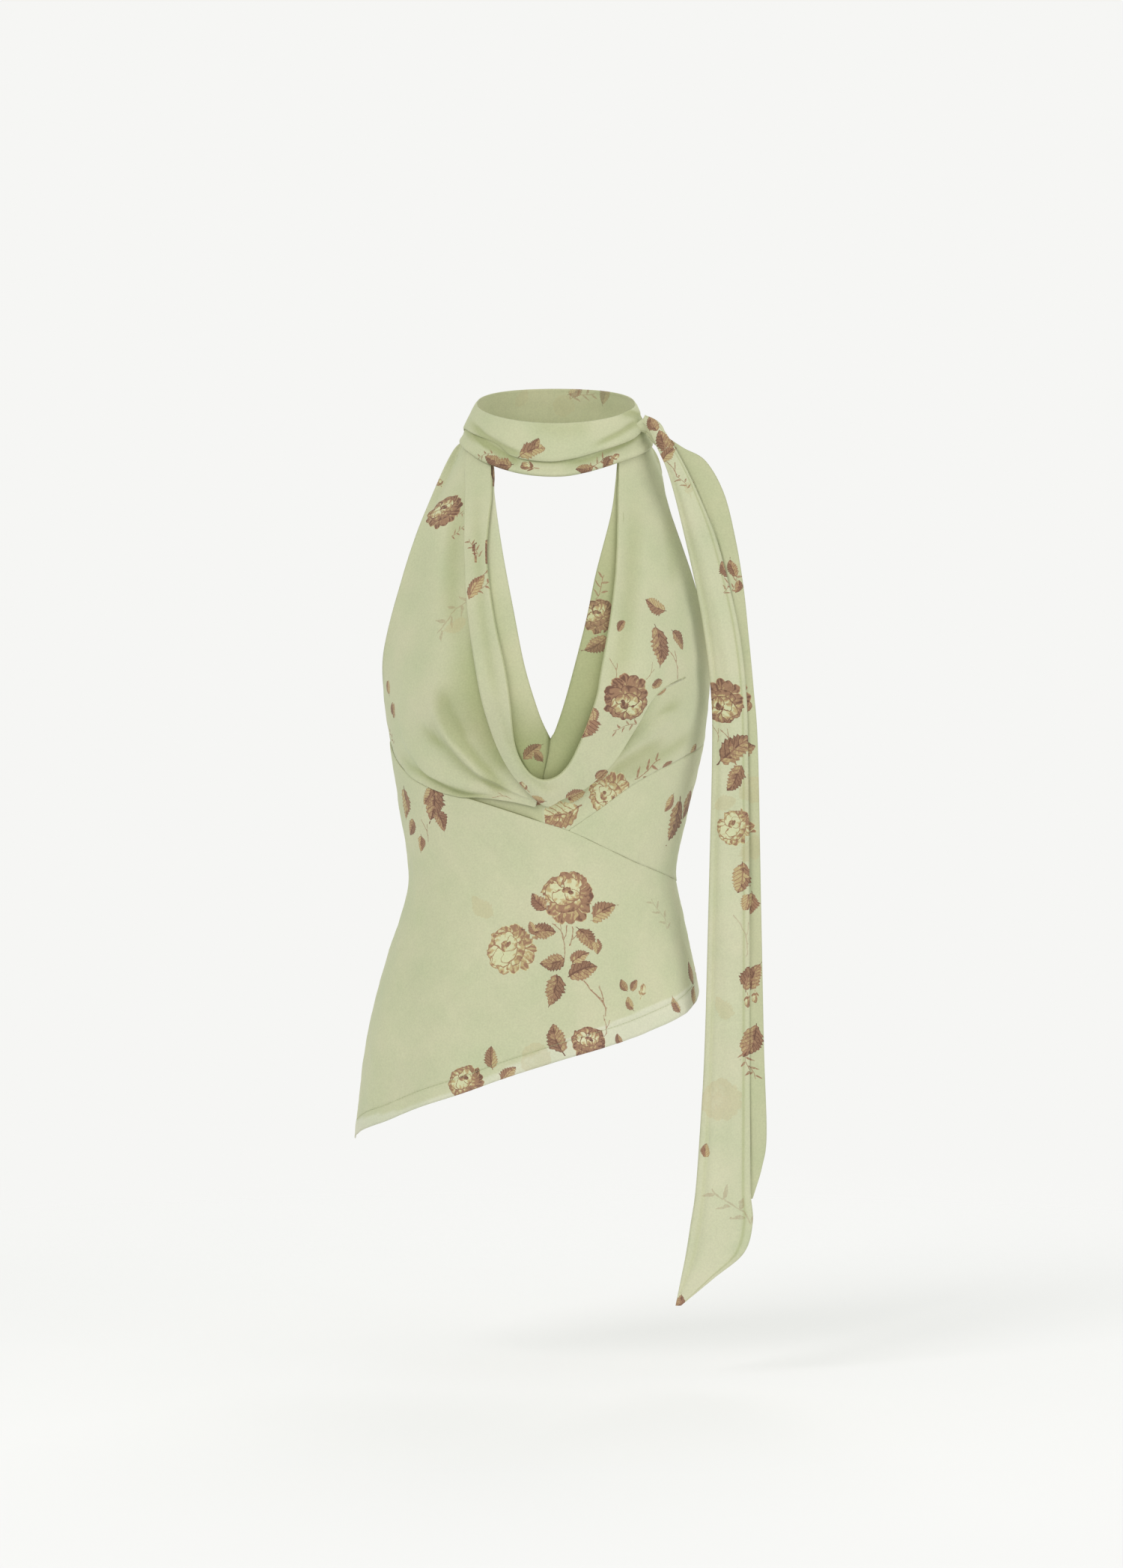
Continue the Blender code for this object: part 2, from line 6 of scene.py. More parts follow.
import bmesh
import bpy
import numpy as np
from bpy.props import FloatProperty, FloatVectorProperty, IntProperty, PointerProperty
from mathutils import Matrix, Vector


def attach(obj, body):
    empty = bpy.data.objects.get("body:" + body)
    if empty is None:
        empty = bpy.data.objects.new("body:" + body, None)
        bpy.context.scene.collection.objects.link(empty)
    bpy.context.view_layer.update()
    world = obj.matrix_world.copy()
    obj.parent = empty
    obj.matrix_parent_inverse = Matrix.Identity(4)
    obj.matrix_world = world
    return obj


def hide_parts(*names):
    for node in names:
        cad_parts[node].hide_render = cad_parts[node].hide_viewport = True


bl_info = {
    "name": "Cowl Neck Top",
    "version": (1, 0, 0),
    "blender": (4, 5, 0),
    "location": "3D View > Sidebar > Cowl Top",
    "description": "Builds a printed crepe halter top with a cowl front and a neck scarf",
    "category": "Object",
}

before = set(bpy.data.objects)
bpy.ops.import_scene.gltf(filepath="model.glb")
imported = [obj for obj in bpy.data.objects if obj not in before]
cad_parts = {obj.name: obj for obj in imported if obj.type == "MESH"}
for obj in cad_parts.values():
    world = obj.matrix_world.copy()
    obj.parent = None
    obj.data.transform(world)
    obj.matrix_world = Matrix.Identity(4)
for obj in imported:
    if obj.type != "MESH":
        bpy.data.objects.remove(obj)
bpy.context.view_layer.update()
MM = 0.001

# The picture that places are read from: its size and the camera that took it
PICTURE_SIZE = (1500, 2095)
MM_PER_PIXEL = 0.684
VIEW_DISTANCE = 5000.0
VIEW_LIFT = math.radians(2.5)
AIM_X, AIM_Z = 13.68, -323.19

# Neck ring, on which the scarf is wound
NECK_X, NECK_Y = 8.5, 7.0
NECK_HALF_WIDTH, NECK_HALF_DEPTH = 72.5, 60.0
NECK_LEVEL = 25.0
NECK_FLARE_SIDE, NECK_FLARE_FRONT = 0.40, 0.10
RIM_LEVEL, RIM_TILT, RIM_SIDE_LIFT = 22.0, 17.0, 4.0
NECK_BLEND_TOP, NECK_BLEND_BOTTOM = -30, -95

# Body rings: height, half width to the left and to the right, depth in front and behind
BODY = (
    # z, left, right, front, back
    (60, 66, 66, 50, 60),
    (0, 78, 78, 58, 64),
    (-45, 103, 103, 73, 72),
    (-85, 117, 117, 88, 80),
    (-126, 130.5, 130.5, 102, 86),
    (-181, 145, 145, 118, 90),
    (-235, 150, 150, 121, 90),
    (-285, 143.5, 144, 109, 87),
    (-345, 134.5, 130, 95, 80),
    (-407, 125.5, 118.5, 89, 74),
    (-440, 132, 124.5, 92, 79),
    (-475, 144, 132, 97, 88),
    (-510, 154, 139, 102, 94),
    (-545, 162.5, 144, 106, 98),
    (-578, 168, 148, 108, 101),
    (-650, 176, 152, 110, 104),
)
BUST = {"x": 92, "z": -225, "wide": 42, "tall": 52, "proud": 16}
ARMHOLE = (
    # z, how far forward the edge runs
    (0, 4), (-40, 22), (-95, 42), (-135, 46), (-208, 32), (-250, 10), (-284, 0),
)
WAIST_SEAM = (
    # turn round the body, z
    (-90, -284), (-80, -295), (-70, -307), (-51, -323.5), (-32.5, -332), (-17, -342),
    (-1, -354), (9, -361), (29, -380), (47, -394), (76, -408), (90, -412),
)
BUST_SEAM = ((9, -361), (21, -343), (36, -319), (51, -304), (72, -291), (90, -284))
MIDRIFF_TIP, MIDRIFF_FROM = 20.4, 9.3       # its x, and the turn that the panel starts at
SEAM_LAP = 0.04
HEM = (
    # turn round the body, z
    (-90, -648), (-60, -629), (-42, -612), (-26, -597), (-12, -582), (2, -569),
    (20, -556), (38, -544), (56, -532), (74, -521), (90, -511), (120, -525),
    (150, -547), (180, -575), (210, -603), (240, -630), (270, -648),
)
BACK_TOP_SIDE, BACK_TOP_DIP = -284, 16
SIDE_SEAM_TURN = 0.02
SEAM_WIDTH, SEAM_DEPTH, SEAM_OVERLAP = 1.6, 0.3, 0.8        # a sewn edge: wide, turned in, lapped
SIDE_SEAM_WIDTH, SIDE_SEAM_DEPTH, MM_PER_DEGREE = 1.8, 0.6, 2.2
HEM_TURN, HEM_STEP, HEM_CREASE = 1.2, 0.35, 0.45    # round the hem's fold, its cloth and its line
SKIRT_WAVES = (
    # turn, width, height
    (-66, 9, 3.0), (-38, 12, 2.2), (22, 13, 2.2), (57, 9, 2.6),
    (118, 11, 2.6), (152, 12, 2.2), (205, 13, 2.4), (243, 10, 3.0),
)

# Left front: lines from the armhole edge to the edge under the cowl, with two folds between
LEFT_FRONT = (
    # edge x, z, low fold x, z, high fold x, z, inner x, z, fold height, lift
    (-73, -8, -71, -9.5, -69, -11, -64, -14, 0, -1.6),
    (-86, -20, -81, -24, -76, -28, -66, -31, 0, -1.2),
    (-104.6, -60, -94, -60, -81, -60, -66, -60, 0, 0),
    (-128.3, -126.5, -110, -122, -89, -117, -66, -113, 0, 0),
    (-148.6, -208, -124, -196, -95, -182, -62, -168, 0, 0),
    (-144, -280, -131, -266, -103, -238, -58, -196, 0.7, 0),
    (-128, -309.5, -113, -304, -93, -268, -51, -245, 2.8, 0),
    (-107, -323, -94, -317, -78, -290, -46, -266, 5, 0),
    (-82, -331, -72, -326, -60, -309, -36, -292, 5, 0),
    (-60, -332, -54, -328, -44, -318, -26, -303, 3.5, 0),
    (-33, -335, -31, -332, -25, -328, -16, -313, 1.6, 0),
    (-10, -340, -9, -338, -8, -334, -6, -324, 0.4, 0),
)
LOW_FOLD, HIGH_FOLD = 0.34, 0.67        # where the two folds lie across the cloth
LOW_FOLD_FORM = (1.2, 0.16, 0.035)      # height, and width past the line and before it
HIGH_FOLD_FORM = (1.4, 0.14, 0.03)
LOW_FOLD_END = (9.5, 2.5)               # the row where it ends, and how many it fades over
# Painted shade on the left front: just before each fold, beside the cowl's edge and along the waist
# seam
FOLD_SHADE, FOLD_SHADE_OFF, FOLD_SHADE_WIDTH, FOLD_SHADE_FROM = 0.75, 0.055, 0.05, 1.5
BESIDE_COWL_ROWS, BESIDE_COWL_LINES = ((3.0, 3), (10, 2)), (0.70, 0.24)
WAIST_SHADE, WAIST_SHADE_HEIGHT, WAIST_SHADE_ROWS = 0.6, 7, (6.5, 2)
ARMHOLE_DEPTH, WAIST_LOOSE_OVER = 0.9, 4.5
ARMHOLE_SPAN, LEFT_FRONT_MOST = 60, 7.5     # width of the cloth at its edge, and its most lift

# Cowl: lines from its outer fold to its rim, down one strap, round the U and up the other
COWL = (
    # outer x, z, rim x, z, lift at the outer fold, at the crown and at the rim
    (-70, -9, -52, -20, 0.1, 0.1, -0.1),
    (-73.5, -31, -50.5, -37, 0.6, 0.6, 0.5),
    (-73, -60, -49, -62, 3.0, 4.0, 5.0),
    (-73, -113, -52, -113, 3.0, 6.5, 8.5),
    (-70, -166, -46, -170, 3.0, 7.0, 9.0),
    (-63.5, -213, -38, -213, 3.0, 7.0, 10.0),
    (-56, -250, -33, -246, 3.2, 7.0, 10.0),
    (-43, -287, -28, -284, 5.0, 8.5, 11.0),
    (-26.5, -315, -18, -306, 6.0, 9.5, 12.0),
    (-2, -338.5, -5, -315.5, 3.6, 9.5, 12.5),
    (14, -333, 8, -313.5, 3.2, 9.5, 12.5),
    (32, -325, 19.5, -302, 3.8, 9.5, 12.0),
    (54, -305, 30, -281, 6.2, 10.0, 11.5),
    (76, -273, 39.5, -258, 5.4, 9.0, 11.0),
    (97, -240, 46.5, -238, 1.8, 6.5, 10.5),
    (126, -223, 50, -218, 0.0, 3.8, 10.0),
    (150.5, -212, 53, -198, 0.0, 3.0, 9.5),
    (145.5, -181, 57, -165, 0.0, 2.5, 9.0),
    (132, -133, 61, -124, 0.0, 2.5, 8.0),
    (112, -72, 63.5, -79, 0.0, 2.0, 5.0),
    (103, -28, 65.5, -42, 0.0, 0.4, 0.8),
    (90.5, -8, 66, -22, 0.0, 0.0, -0.2),
)
CUP_FROM, CUP_TO = 9, 16    # the cowl's lines from which the right cup hangs on below the fold
RIM_RADIUS, RIM_TUCK, RIM_FULL_LIFT, RIM_LEAST = 1.8, 4.0, 5.0, 0.15

# Right cup: for each of the cowl's lines from CUP_FROM on, where it ends at the seam
RIGHT_CUP = (
    # seam x, set back, share of the fold that turns under
    (-1, 3.0, 1),
    (20, 2.4, 1),
    (37, 2.2, 1),
    (56, 2.2, 1),
    (84, 2.0, 0.95),
    (112, 0.8, 0.3),
    (136.5, 0, 0),
    (144.2, 0, 0),
)
CUP_TUCK = 9.0              # how far the cup's cloth runs up under the cowl's fold

# Facings: the inner faces of the straps, from behind the rim to the edge of the opening
LEFT_FACING = (
    # rim x, z, edge x, z, lift at the rim and at the edge
    (-56, -20, -50, -23, -2.0, -2.0),
    (-55, -40, -48, -42, -2.4, -2.4),
    (-54, -62, -46.5, -62, 0.6, 0.2),
    (-56, -113, -38.6, -113, 3.9, 0.8),
    (-48, -166, -29, -163, 4.6, 1.0),
    (-41, -213, -19, -213, 5.4, 1.2),
    (-35, -250, -7, -253, 5.2, 0.0),
    (-27, -286, 1, -272, 4.6, -2.5),
    (-12, -314, 8, -285, 3.0, -5.0),
    (2, -322, 13, -300, -1.0, -7.0),
)
RIGHT_FACING = (
    # rim x, z, edge x, z, lift at the rim and at the edge
    (72, -20, 66, -23, -2.2, -2.2),
    (70, -48, 63.5, -50, -2.6, -2.6),
    (67, -79, 58, -79, 0.3, 0.1),
    (64.5, -124, 44.5, -129.5, 3.6, 1.0),
    (60.5, -165, 36, -169.5, 4.4, 1.2),
    (56, -203, 26, -209.5, 5.0, 1.4),
    (50.5, -240, 16, -246, 5.4, 1.6),
    (41, -275, 8, -270, 5.6, 1.4),
    (26, -304, 4, -278, 5.0, 0.8),
    (10, -318, 2, -292, 4.2, 0.5),
    (0, -322, -2.5, -312, 3.0, 1.0),
)

# Scarf round the neck: height of the edges at each turn, and how far out each lies
UPPER_WRAP = (
    # turn, bottom z, out at the top, out at the bottom
    (-97, -1, 0.4, 2.6),
    (-75, 0, 0.4, 3.4),
    (-40, -12, 0.4, 4.2),
    (-24, -25, 0.6, 4.6),
    (-5, -30, 0.8, 4.8),
    (10, -27, 0.8, 4.8),
    (28, -19, 0.8, 4.4),
    (52, -9, 1.0, 4.0),
    (76, 3, 1.2, 3.6),
    (85, 0, 0.9, 1.6),
)
LOWER_WRAP = (
    # turn, top z, bottom z, out at the top, in the furrow and at the bottom
    (-97, 5, -10, 0.2, 0.6, 1.2),
    (-78, 5, -14, 0.4, 0.9, 2.0),
    (-60, -3, -21, 0.6, 1.0, 2.4),
    (-40, -8, -31.5, 0.6, 1.2, 3.0),
    (-18, -22, -41, 0.7, 1.6, 3.6),
    (0, -25, -43.6, 0.7, 1.6, 3.8),
    (14, -20, -40.5, 0.7, 1.6, 3.6),
    (38, -9, -30, 0.7, 1.2, 3.0),
    (62, 1, -21, 0.7, 1.0, 2.6),
    (80, 6, -15, 0.8, 1.0, 2.4),
    (84, 5, -12, 0.6, 0.8, 1.4),
)
NAPE_BAND = {"from": 84.1, "to": 262.9, "side_bottom": -11, "back_bottom": -6, "out": 0.6}
KNOT_ROLL = (
    # middle x, y, z, half width and half thickness of the rolled end
    (80, -22, 2, 1.5, 0.0),
    (87, -20, 3, 6.0, 2.6),
    (93, -19, 3, 8.0, 4.0),
    (98, -19, -1, 8.5, 5.0),
    (101, -19, -7, 7.5, 5.0),
    (103, -20, -13, 5.0, 3.5),
    (104, -21, -17, 1.0, 0.0),
)
KNOT_FRONT = np.array([0.25, -1.0, 0.15])       # the way that the knot's broad side faces
UPPER_WRAP_CREASES = (
    # height, above, below, line, as for the creases of the front
    (-2.0, 3, 4, ((786, 600), (829, 579), (860, 559))),
    (-2.2, 2.5, 4, ((822, 548), (842, 551), (858, 557), (872, 566))),
    (1.2, 7, 3, ((790, 606), (828, 590), (858, 572))),
    (-2.0, 3, 4, ((622, 558), (646, 582), (676, 600), (706, 612))),
    (0.8, 8, 8, ((636, 556), (664, 578), (700, 594))),
    (-0.6, 9, 9, ((700, 562), (750, 574), (800, 566))),
)
LOWER_WRAP_CREASES = (
    (-2.2, 2.5, 4, ((628, 572), (648, 594), (676, 611), (700, 622))),
    (1.0, 4, 4, ((622, 580), (642, 602), (668, 617))),
    (-1.9, 3, 3, ((745, 624), (790, 613), (832, 594), (856, 580))),
    (0.9, 4, 3, ((760, 618), (800, 607), (846, 584))),
)
TAIL = (
    # left x, z, right x, z, depth, crown
    (86.5, 7.5, 89.5, 13, -20, 0.3),
    (93, -1, 100.5, 7, -30, 1.0),
    (101, -19, 111.5, -9, -37, 2.0),
    (108, -35, 126, -35, -45, 3.0),
    (115, -58, 138.5, -62, -52, 4.0),
    (124, -95, 153, -98.5, -58, 4.5),
    (135, -144, 165.5, -144, -62, 4.5),
    (142.5, -187, 174.5, -187, -63, 4.5),
    (148, -234, 180, -234, -63, 4.5),
    (149.5, -288, 182, -288, -63, 4.0),
    (146.5, -424, 183.5, -424, -62, 3.5),
    (143, -560, 184, -560, -61, 3.0),
    (139, -634, 184.5, -634, -60, 3.0),
    (135, -689, 185, -689, -60, 3.5),
    (130.5, -720, 187, -718, -60, 3.5),
    (126.5, -746, 179, -746, -60, 3.0),
    (122, -769, 152, -769, -60, 2.0),
    (117, -794, 122, -794, -60, 0.6),
)
UNDER_TAIL = (
    # left x, z, right x, z, depth, crown
    (98, -6, 106, -5, -28.5, 0.5),
    (106, -20, 124, -17, -34, 1.0),
    (118, -42, 144, -29, -40, 2.0),
    (129, -70, 160.5, -58.5, -47, 3.0),
    (142, -106, 171, -101, -53, 3.0),
    (153, -150, 178, -144, -57, 2.5),
    (160, -187, 182.5, -187, -58, 2.0),
    (164, -234, 187, -234, -58.5, 2.0),
    (166, -288, 191, -288, -58.5, 2.0),
    (166, -424, 194, -424, -57.5, 2.0),
    (166, -560, 197, -560, -57, 2.0),
    (167, -634, 199.5, -638, -56, 2.5),
    (172, -668, 195.5, -668, -56, 2.0),
    (180, -698, 187, -697, -56, 0.5),
)

# Creases of the front, drawn along the picture: the height of each, how far it spreads above
# and below its line, and its line in the picture's pixels
LEFT_CREASES = (
    # height, above, below, line
    (1.6, 3, 12, ((575, 985), (604, 1012), (636, 1036), (668, 1052))),
    (-1.0, 9, 9, ((618, 640), (606, 720), (603, 800), (612, 880))),
    (0.8, 7, 7, ((596, 650), (582, 730), (572, 800))),
    (-0.9, 10, 10, ((585, 905), (600, 960), (622, 1000))),
    (0.7, 9, 9, ((560, 900), (566, 950), (584, 985))),
    (-1.8, 4, 8, ((584, 915), (598, 950), (618, 988), (640, 1018), (664, 1042), (690, 1058))),
    (1.2, 5, 5, ((566, 945), (586, 975), (610, 1004), (640, 1030), (670, 1048))),
    (-1.5, 4, 6, ((552, 945), (572, 976), (600, 1010), (634, 1036), (664, 1052), (690, 1062))),
    (1.0, 5, 5, ((536, 975), (560, 1008), (590, 1032), (624, 1048), (660, 1060))),
    (-1.3, 3, 4, ((526, 995), (548, 1024), (580, 1044), (612, 1055), (643, 1062), (668, 1066))),
)
RIGHT_CREASES = (
    (2.6, 16, 3, ((795, 1044), (824, 1012), (853, 991), (886, 968), (906, 948))),
    (-1.2, 6, 8, ((800, 1058), (830, 1026), (862, 1004), (896, 985))),
    (-1.0, 10, 8, ((846, 640), (842, 720), (836, 800), (828, 880), (816, 940))),
    (0.9, 9, 9, ((872, 690), (874, 760), (868, 830), (856, 900))),
    (-0.8, 8, 8, ((889, 672), (896, 730), (904, 790))),
    (0.8, 10, 10, ((800, 900), (790, 950), (774, 1000), (756, 1036))),
    (-1.8, 6, 4, ((790, 1044), (812, 1010), (838, 984), (866, 964), (894, 948), (918, 930))),
    (-0.9, 5, 5, ((826, 1050), (854, 1030), (884, 1010), (912, 990), (934, 970))),
)
COWL_CREASES = (
    (-0.9, 5, 5, ((640, 620), (640, 720), (646, 820), (656, 900), (674, 970))),
    (-0.8, 5, 4, ((662, 930), (682, 990), (706, 1036), (730, 1054), (756, 1046))),
)
SKIRT_CREASES = (
    (-0.9, 16, 16, ((700, 1110), (690, 1190), (670, 1280), (640, 1380))),
    (0.8, 14, 14, ((620, 1090), (600, 1180), (570, 1290), (550, 1400))),
    (-0.7, 12, 12, ((860, 1170), (870, 1230), (880, 1290), (884, 1340))),
    (0.7, 12, 12, ((560, 1060), (556, 1140), (548, 1220))),
    (-0.6, 10, 10, ((770, 1130), (790, 1180), (820, 1230), (850, 1260))),
)
FOLD_LINES = {"tail": (0.17, 0.86), "under": (0.45,)}

# How finely each cloth is laid: rows along it and lines across it
LEFT_FRONT_ROWS, LEFT_FRONT_LINES = 170, 44
STRAP_ROWS, CUP_ROWS, RIGHT_STRAP_ROWS, COWL_LINES, CUP_LINES = 150, 120, 90, 30, 34
ROLL_STEPS, UNDER_ROWS = 6, 30
FACING_ROWS, FACING_LINES = 150, 14
SKIRT_ROWS, SKIRT_LINES, MIDRIFF_ROWS, MIDRIFF_LINES = 96, 190, 44, 92
BACK_ROWS, BACK_LINES, STITCH_LINE_POINTS = 110, 170, 400
WRAP_ROWS, UPPER_WRAP_LINES, LOWER_WRAP_LINES = 150, 40, 36
NAPE_ROWS, NAPE_LINES, KNOT_ROWS, KNOT_LINES = 120, 24, 60, 65
TAIL_ROWS, TAIL_LINES, UNDER_TAIL_ROWS, UNDER_TAIL_LINES = 330, 24, 290, 18

# The print: motif kind, place in the picture, length, turn to the left from upright, and tone
ROSE, LEAF, BUD, STEM, SHOOT = 1, 2, 3, 4, 5
FULL, GHOST, DARK, CREAM = 0, 1, 2, 3
LEFT_FRONT_PRINT = (
    (ROSE, 588, 682, 40, 35, DARK), (BUD, 583, 642, 15, 30, FULL),
    (SHOOT, 611, 708, 18, -60, FULL), (SHOOT, 612, 688, 15, -100, FULL),
    (SHOOT, 600, 822, 42, 130, GHOST), (LEAF, 606, 836, 22, 120, GHOST),
    (LEAF, 517, 918, 15, 10, FULL), (LEAF, 521, 948, 16, -20, DARK),
    (SHOOT, 520, 985, 18, 20, FULL), (STEM, 668, 1066, 18, 80, FULL),
)
COWL_PRINT = (
    (SHOOT, 630, 732, 22, 30, FULL), (LEAF, 633, 782, 24, -30, FULL),
    (STEM, 645, 760, 24, -50, FULL), (LEAF, 661, 730, 26, -20, DARK),
    (SHOOT, 654, 776, 22, -60, FULL), (ROSE, 841, 936, 46, 165, DARK),
    (STEM, 824, 892, 22, 8, FULL), (LEAF, 831, 832, 13, -40, DARK), (LEAF, 877, 810, 24, 62, FULL),
    (LEAF, 883, 861, 35, 176, DARK), (LEAF, 908, 851, 21, 212, DARK),
    (STEM, 904, 884, 34, 20, FULL), (STEM, 871, 897, 18, -32, FULL),
    (LEAF, 881, 914, 15, -72, DARK), (LEAF, 781, 970, 26, 162, FULL),
    (LEAF, 792, 960, 17, 190, FULL), (SHOOT, 836, 975, 24, 100, FULL),
    (BUD, 693, 1060, 15, 30, FULL), (LEAF, 714, 1073, 13, 60, FULL),
    (STEM, 676, 1060, 12, 60, FULL), (ROSE, 817, 1062, 42, 120, CREAM),
    (LEAF, 746, 1092, 40, 104, CREAM), (LEAF, 768, 1066, 18, -60, FULL),
    (SHOOT, 866, 1030, 34, -64, FULL), (LEAF, 805, 1038, 13, -50, DARK),
    (STEM, 836, 1048, 26, 40, FULL), (BUD, 815, 1078, 13, 170, FULL),
    (LEAF, 828, 1072, 12, 190, FULL), (LEAF, 900, 1052, 28, 188, DARK),
    (LEAF, 923, 1046, 24, 165, FULL), (LEAF, 933, 1008, 16, 150, FULL),
    (STEM, 920, 1030, 26, 160, FULL), (LEAF, 897, 1026, 14, -40, FULL),
)
SKIRT_PRINT = (
    (ROSE, 758, 1197, 51, 8, FULL), (LEAF, 805, 1213, 27, -62, FULL),
    (LEAF, 718, 1205, 20, 40, DARK), (LEAF, 787, 1251, 24, 214, DARK),
    (LEAF, 800, 1262, 15, 190, FULL), (ROSE, 681, 1268, 48, 70, CREAM),
    (LEAF, 722, 1243, 24, -84, DARK), (LEAF, 708, 1240, 14, 30, FULL),
    (STEM, 753, 1252, 44, 6, FULL), (STEM, 764, 1250, 32, -20, FULL),
    (STEM, 744, 1243, 26, 30, FULL), (LEAF, 738, 1287, 23, 100, DARK),
    (LEAF, 780, 1294, 28, -72, DARK), (LEAF, 777, 1277, 20, -60, FULL),
    (LEAF, 743, 1321, 28, 168, DARK), (STEM, 800, 1334, 44, 24, FULL),
    (STEM, 812, 1372, 26, -12, FULL), (LEAF, 833, 1315, 12, 25, DARK),
    (LEAF, 849, 1314, 12, -35, DARK), (LEAF, 841, 1339, 13, 20, FULL),
    (BUD, 858, 1322, 16, -20, CREAM), (LEAF, 742, 1388, 27, 18, DARK),
    (ROSE, 788, 1393, 32, -12, DARK), (ROSE, 619, 1448, 34, 30, FULL),
    (LEAF, 653, 1409, 20, 4, FULL), (LEAF, 677, 1432, 20, -40, FULL),
    (LEAF, 827, 1386, 12, 20, DARK), (ROSE, 712, 1414, 30, 60, GHOST),
    (LEAF, 925, 1300, 22, 10, DARK), (LEAF, 928, 1326, 18, -30, FULL),
    (LEAF, 907, 1344, 16, 30, FULL), (LEAF, 560, 1128, 15, 170, FULL),
    (STEM, 566, 1110, 22, 10, FULL), (LEAF, 578, 1074, 36, 170, DARK),
    (LEAF, 570, 1066, 20, 140, FULL), (LEAF, 541, 1076, 28, 172, FULL),
    (LEAF, 549, 1106, 18, 150, DARK), (LEAF, 588, 1094, 22, 200, DARK),
    (LEAF, 640, 1210, 26, 50, GHOST), (SHOOT, 884, 1220, 34, 20, GHOST),
)
MIDRIFF_PRINT = (
    (LEAF, 906, 1098, 38, 172, DARK), (LEAF, 922, 1076, 30, 162, DARK),
    (LEAF, 896, 1074, 18, 150, FULL),
)
SCARF_PRINT = (
    (LEAF, 709, 598, 24, -72, FULL), (LEAF, 713, 590, 14, -30, DARK),
    (SHOOT, 643, 607, 18, 100, FULL), (LEAF, 668, 620, 22, 84, DARK),
    (LEAF, 655, 612, 16, 70, DARK), (BUD, 705, 621, 20, 80, DARK), (LEAF, 782, 624, 16, 100, DARK),
    (SHOOT, 797, 617, 22, -60, FULL), (LEAF, 812, 614, 17, -40, DARK),
    (BUD, 821, 607, 13, -50, FULL),
)
NAPE_PRINT = (
    (SHOOT, 777, 531, 26, 70, FULL), (LEAF, 806, 530, 18, 210, DARK),
    (LEAF, 768, 524, 16, 60, FULL), (ROSE, 752, 546, 22, 20, GHOST),
    (LEAF, 700, 534, 20, 30, GHOST),
)
TAIL_PRINT = (
    (LEAF, 868, 565, 18, 40, DARK), (LEAF, 885, 588, 24, 30, DARK),
    (LEAF, 892, 603, 18, -40, FULL), (STEM, 897, 626, 26, 24, FULL),
    (BUD, 921, 650, 18, 15, GHOST), (SHOOT, 912, 640, 20, 30, FULL),
    (LEAF, 979, 757, 16, 20, DARK), (SHOOT, 984, 774, 20, -30, FULL),
    (LEAF, 989, 782, 12, 160, DARK), (ROSE, 962, 935, 42, 160, DARK),
    (STEM, 967, 984, 28, 24, FULL), (STEM, 956, 980, 18, 10, FULL),
    (LEAF, 981, 1003, 36, -56, DARK), (LEAF, 985, 1046, 26, 150, DARK),
    (LEAF, 975, 1078, 22, -70, GHOST), (ROSE, 980, 1112, 36, 60, CREAM),
    (LEAF, 988, 1176, 28, 170, FULL), (LEAF, 1008, 1210, 20, 170, FULL),
    (LEAF, 1009, 1305, 24, -20, DARK), (BUD, 1011, 1332, 16, 180, FULL),
    (LEAF, 1009, 1392, 28, 160, DARK), (SHOOT, 1001, 1422, 26, 190, FULL),
    (ROSE, 1007, 1056, 26, 0, GHOST), (LEAF, 1008, 1136, 24, 0, GHOST),
    (LEAF, 942, 1537, 13, 0, FULL), (ROSE, 960, 1470, 40, 50, GHOST),
    (LEAF, 907, 1742, 14, 160, DARK), (SHOOT, 980, 1612, 50, 40, GHOST),
    (STEM, 988, 1245, 40, 10, GHOST), (LEAF, 962, 1345, 24, 40, GHOST),
)
FACING_PRINT = (
    (LEAF, 657, 628, 34, 15, DARK), (LEAF, 714, 1004, 20, -50, DARK),
    (LEAF, 722, 1012, 14, 30, DARK), (ROSE, 799, 821, 34, 20, DARK),
    (LEAF, 796, 859, 23, 120, DARK), (SHOOT, 804, 784, 26, -30, FULL),
    (SHOOT, 811, 872, 18, 10, FULL),
)

# Petals of the open rose and of the bud, from the back to the front
ROSE_PETALS = (
    # right, up, half width, half length, the way it points, depth of ink, how it deepens to its tip
    (-0.28, -0.54, 0.27, 0.38, -112, 0.54, 0.14), (0.28, -0.56, 0.27, 0.38, -66, 0.60, 0.14),
    (0.00, -0.60, 0.27, 0.36, -90, 0.44, 0.20), (0.54, -0.34, 0.29, 0.36, -38, 0.58, 0.16),
    (0.72, -0.06, 0.25, 0.28, -12, 0.78, 0.05), (0.70, 0.22, 0.27, 0.28, 20, 0.66, 0.12),
    (0.54, 0.48, 0.29, 0.28, 44, 0.56, 0.18), (0.30, 0.62, 0.34, 0.25, 70, 0.42, 0.26),
    (-0.02, 0.68, 0.40, 0.22, 92, 0.50, 0.16), (-0.38, 0.56, 0.38, 0.25, 118, 0.30, 0.30),
    (-0.60, 0.32, 0.34, 0.27, 145, 0.18, 0.36), (-0.68, 0.02, 0.30, 0.28, 178, 0.32, 0.28),
    (-0.52, -0.26, 0.32, 0.34, -148, 0.46, 0.20), (0.44, -0.02, 0.30, 0.42, -8, 0.42, 0.28),
    (-0.38, 0.24, 0.40, 0.38, 150, 0.00, 0.36), (0.24, 0.36, 0.40, 0.34, 62, 0.08, 0.40),
    (-0.04, -0.26, 0.50, 0.26, -90, 0.40, 0.34), (-0.12, 0.04, 0.42, 0.30, -92, 0.02, 0.46),
    (0.20, 0.10, 0.28, 0.26, -78, 0.16, 0.46), (0.02, 0.28, 0.22, 0.13, 96, 0.60, 0.22),
    (0.14, 0.20, 0.13, 0.09, 60, 0.80, 0.05),
)
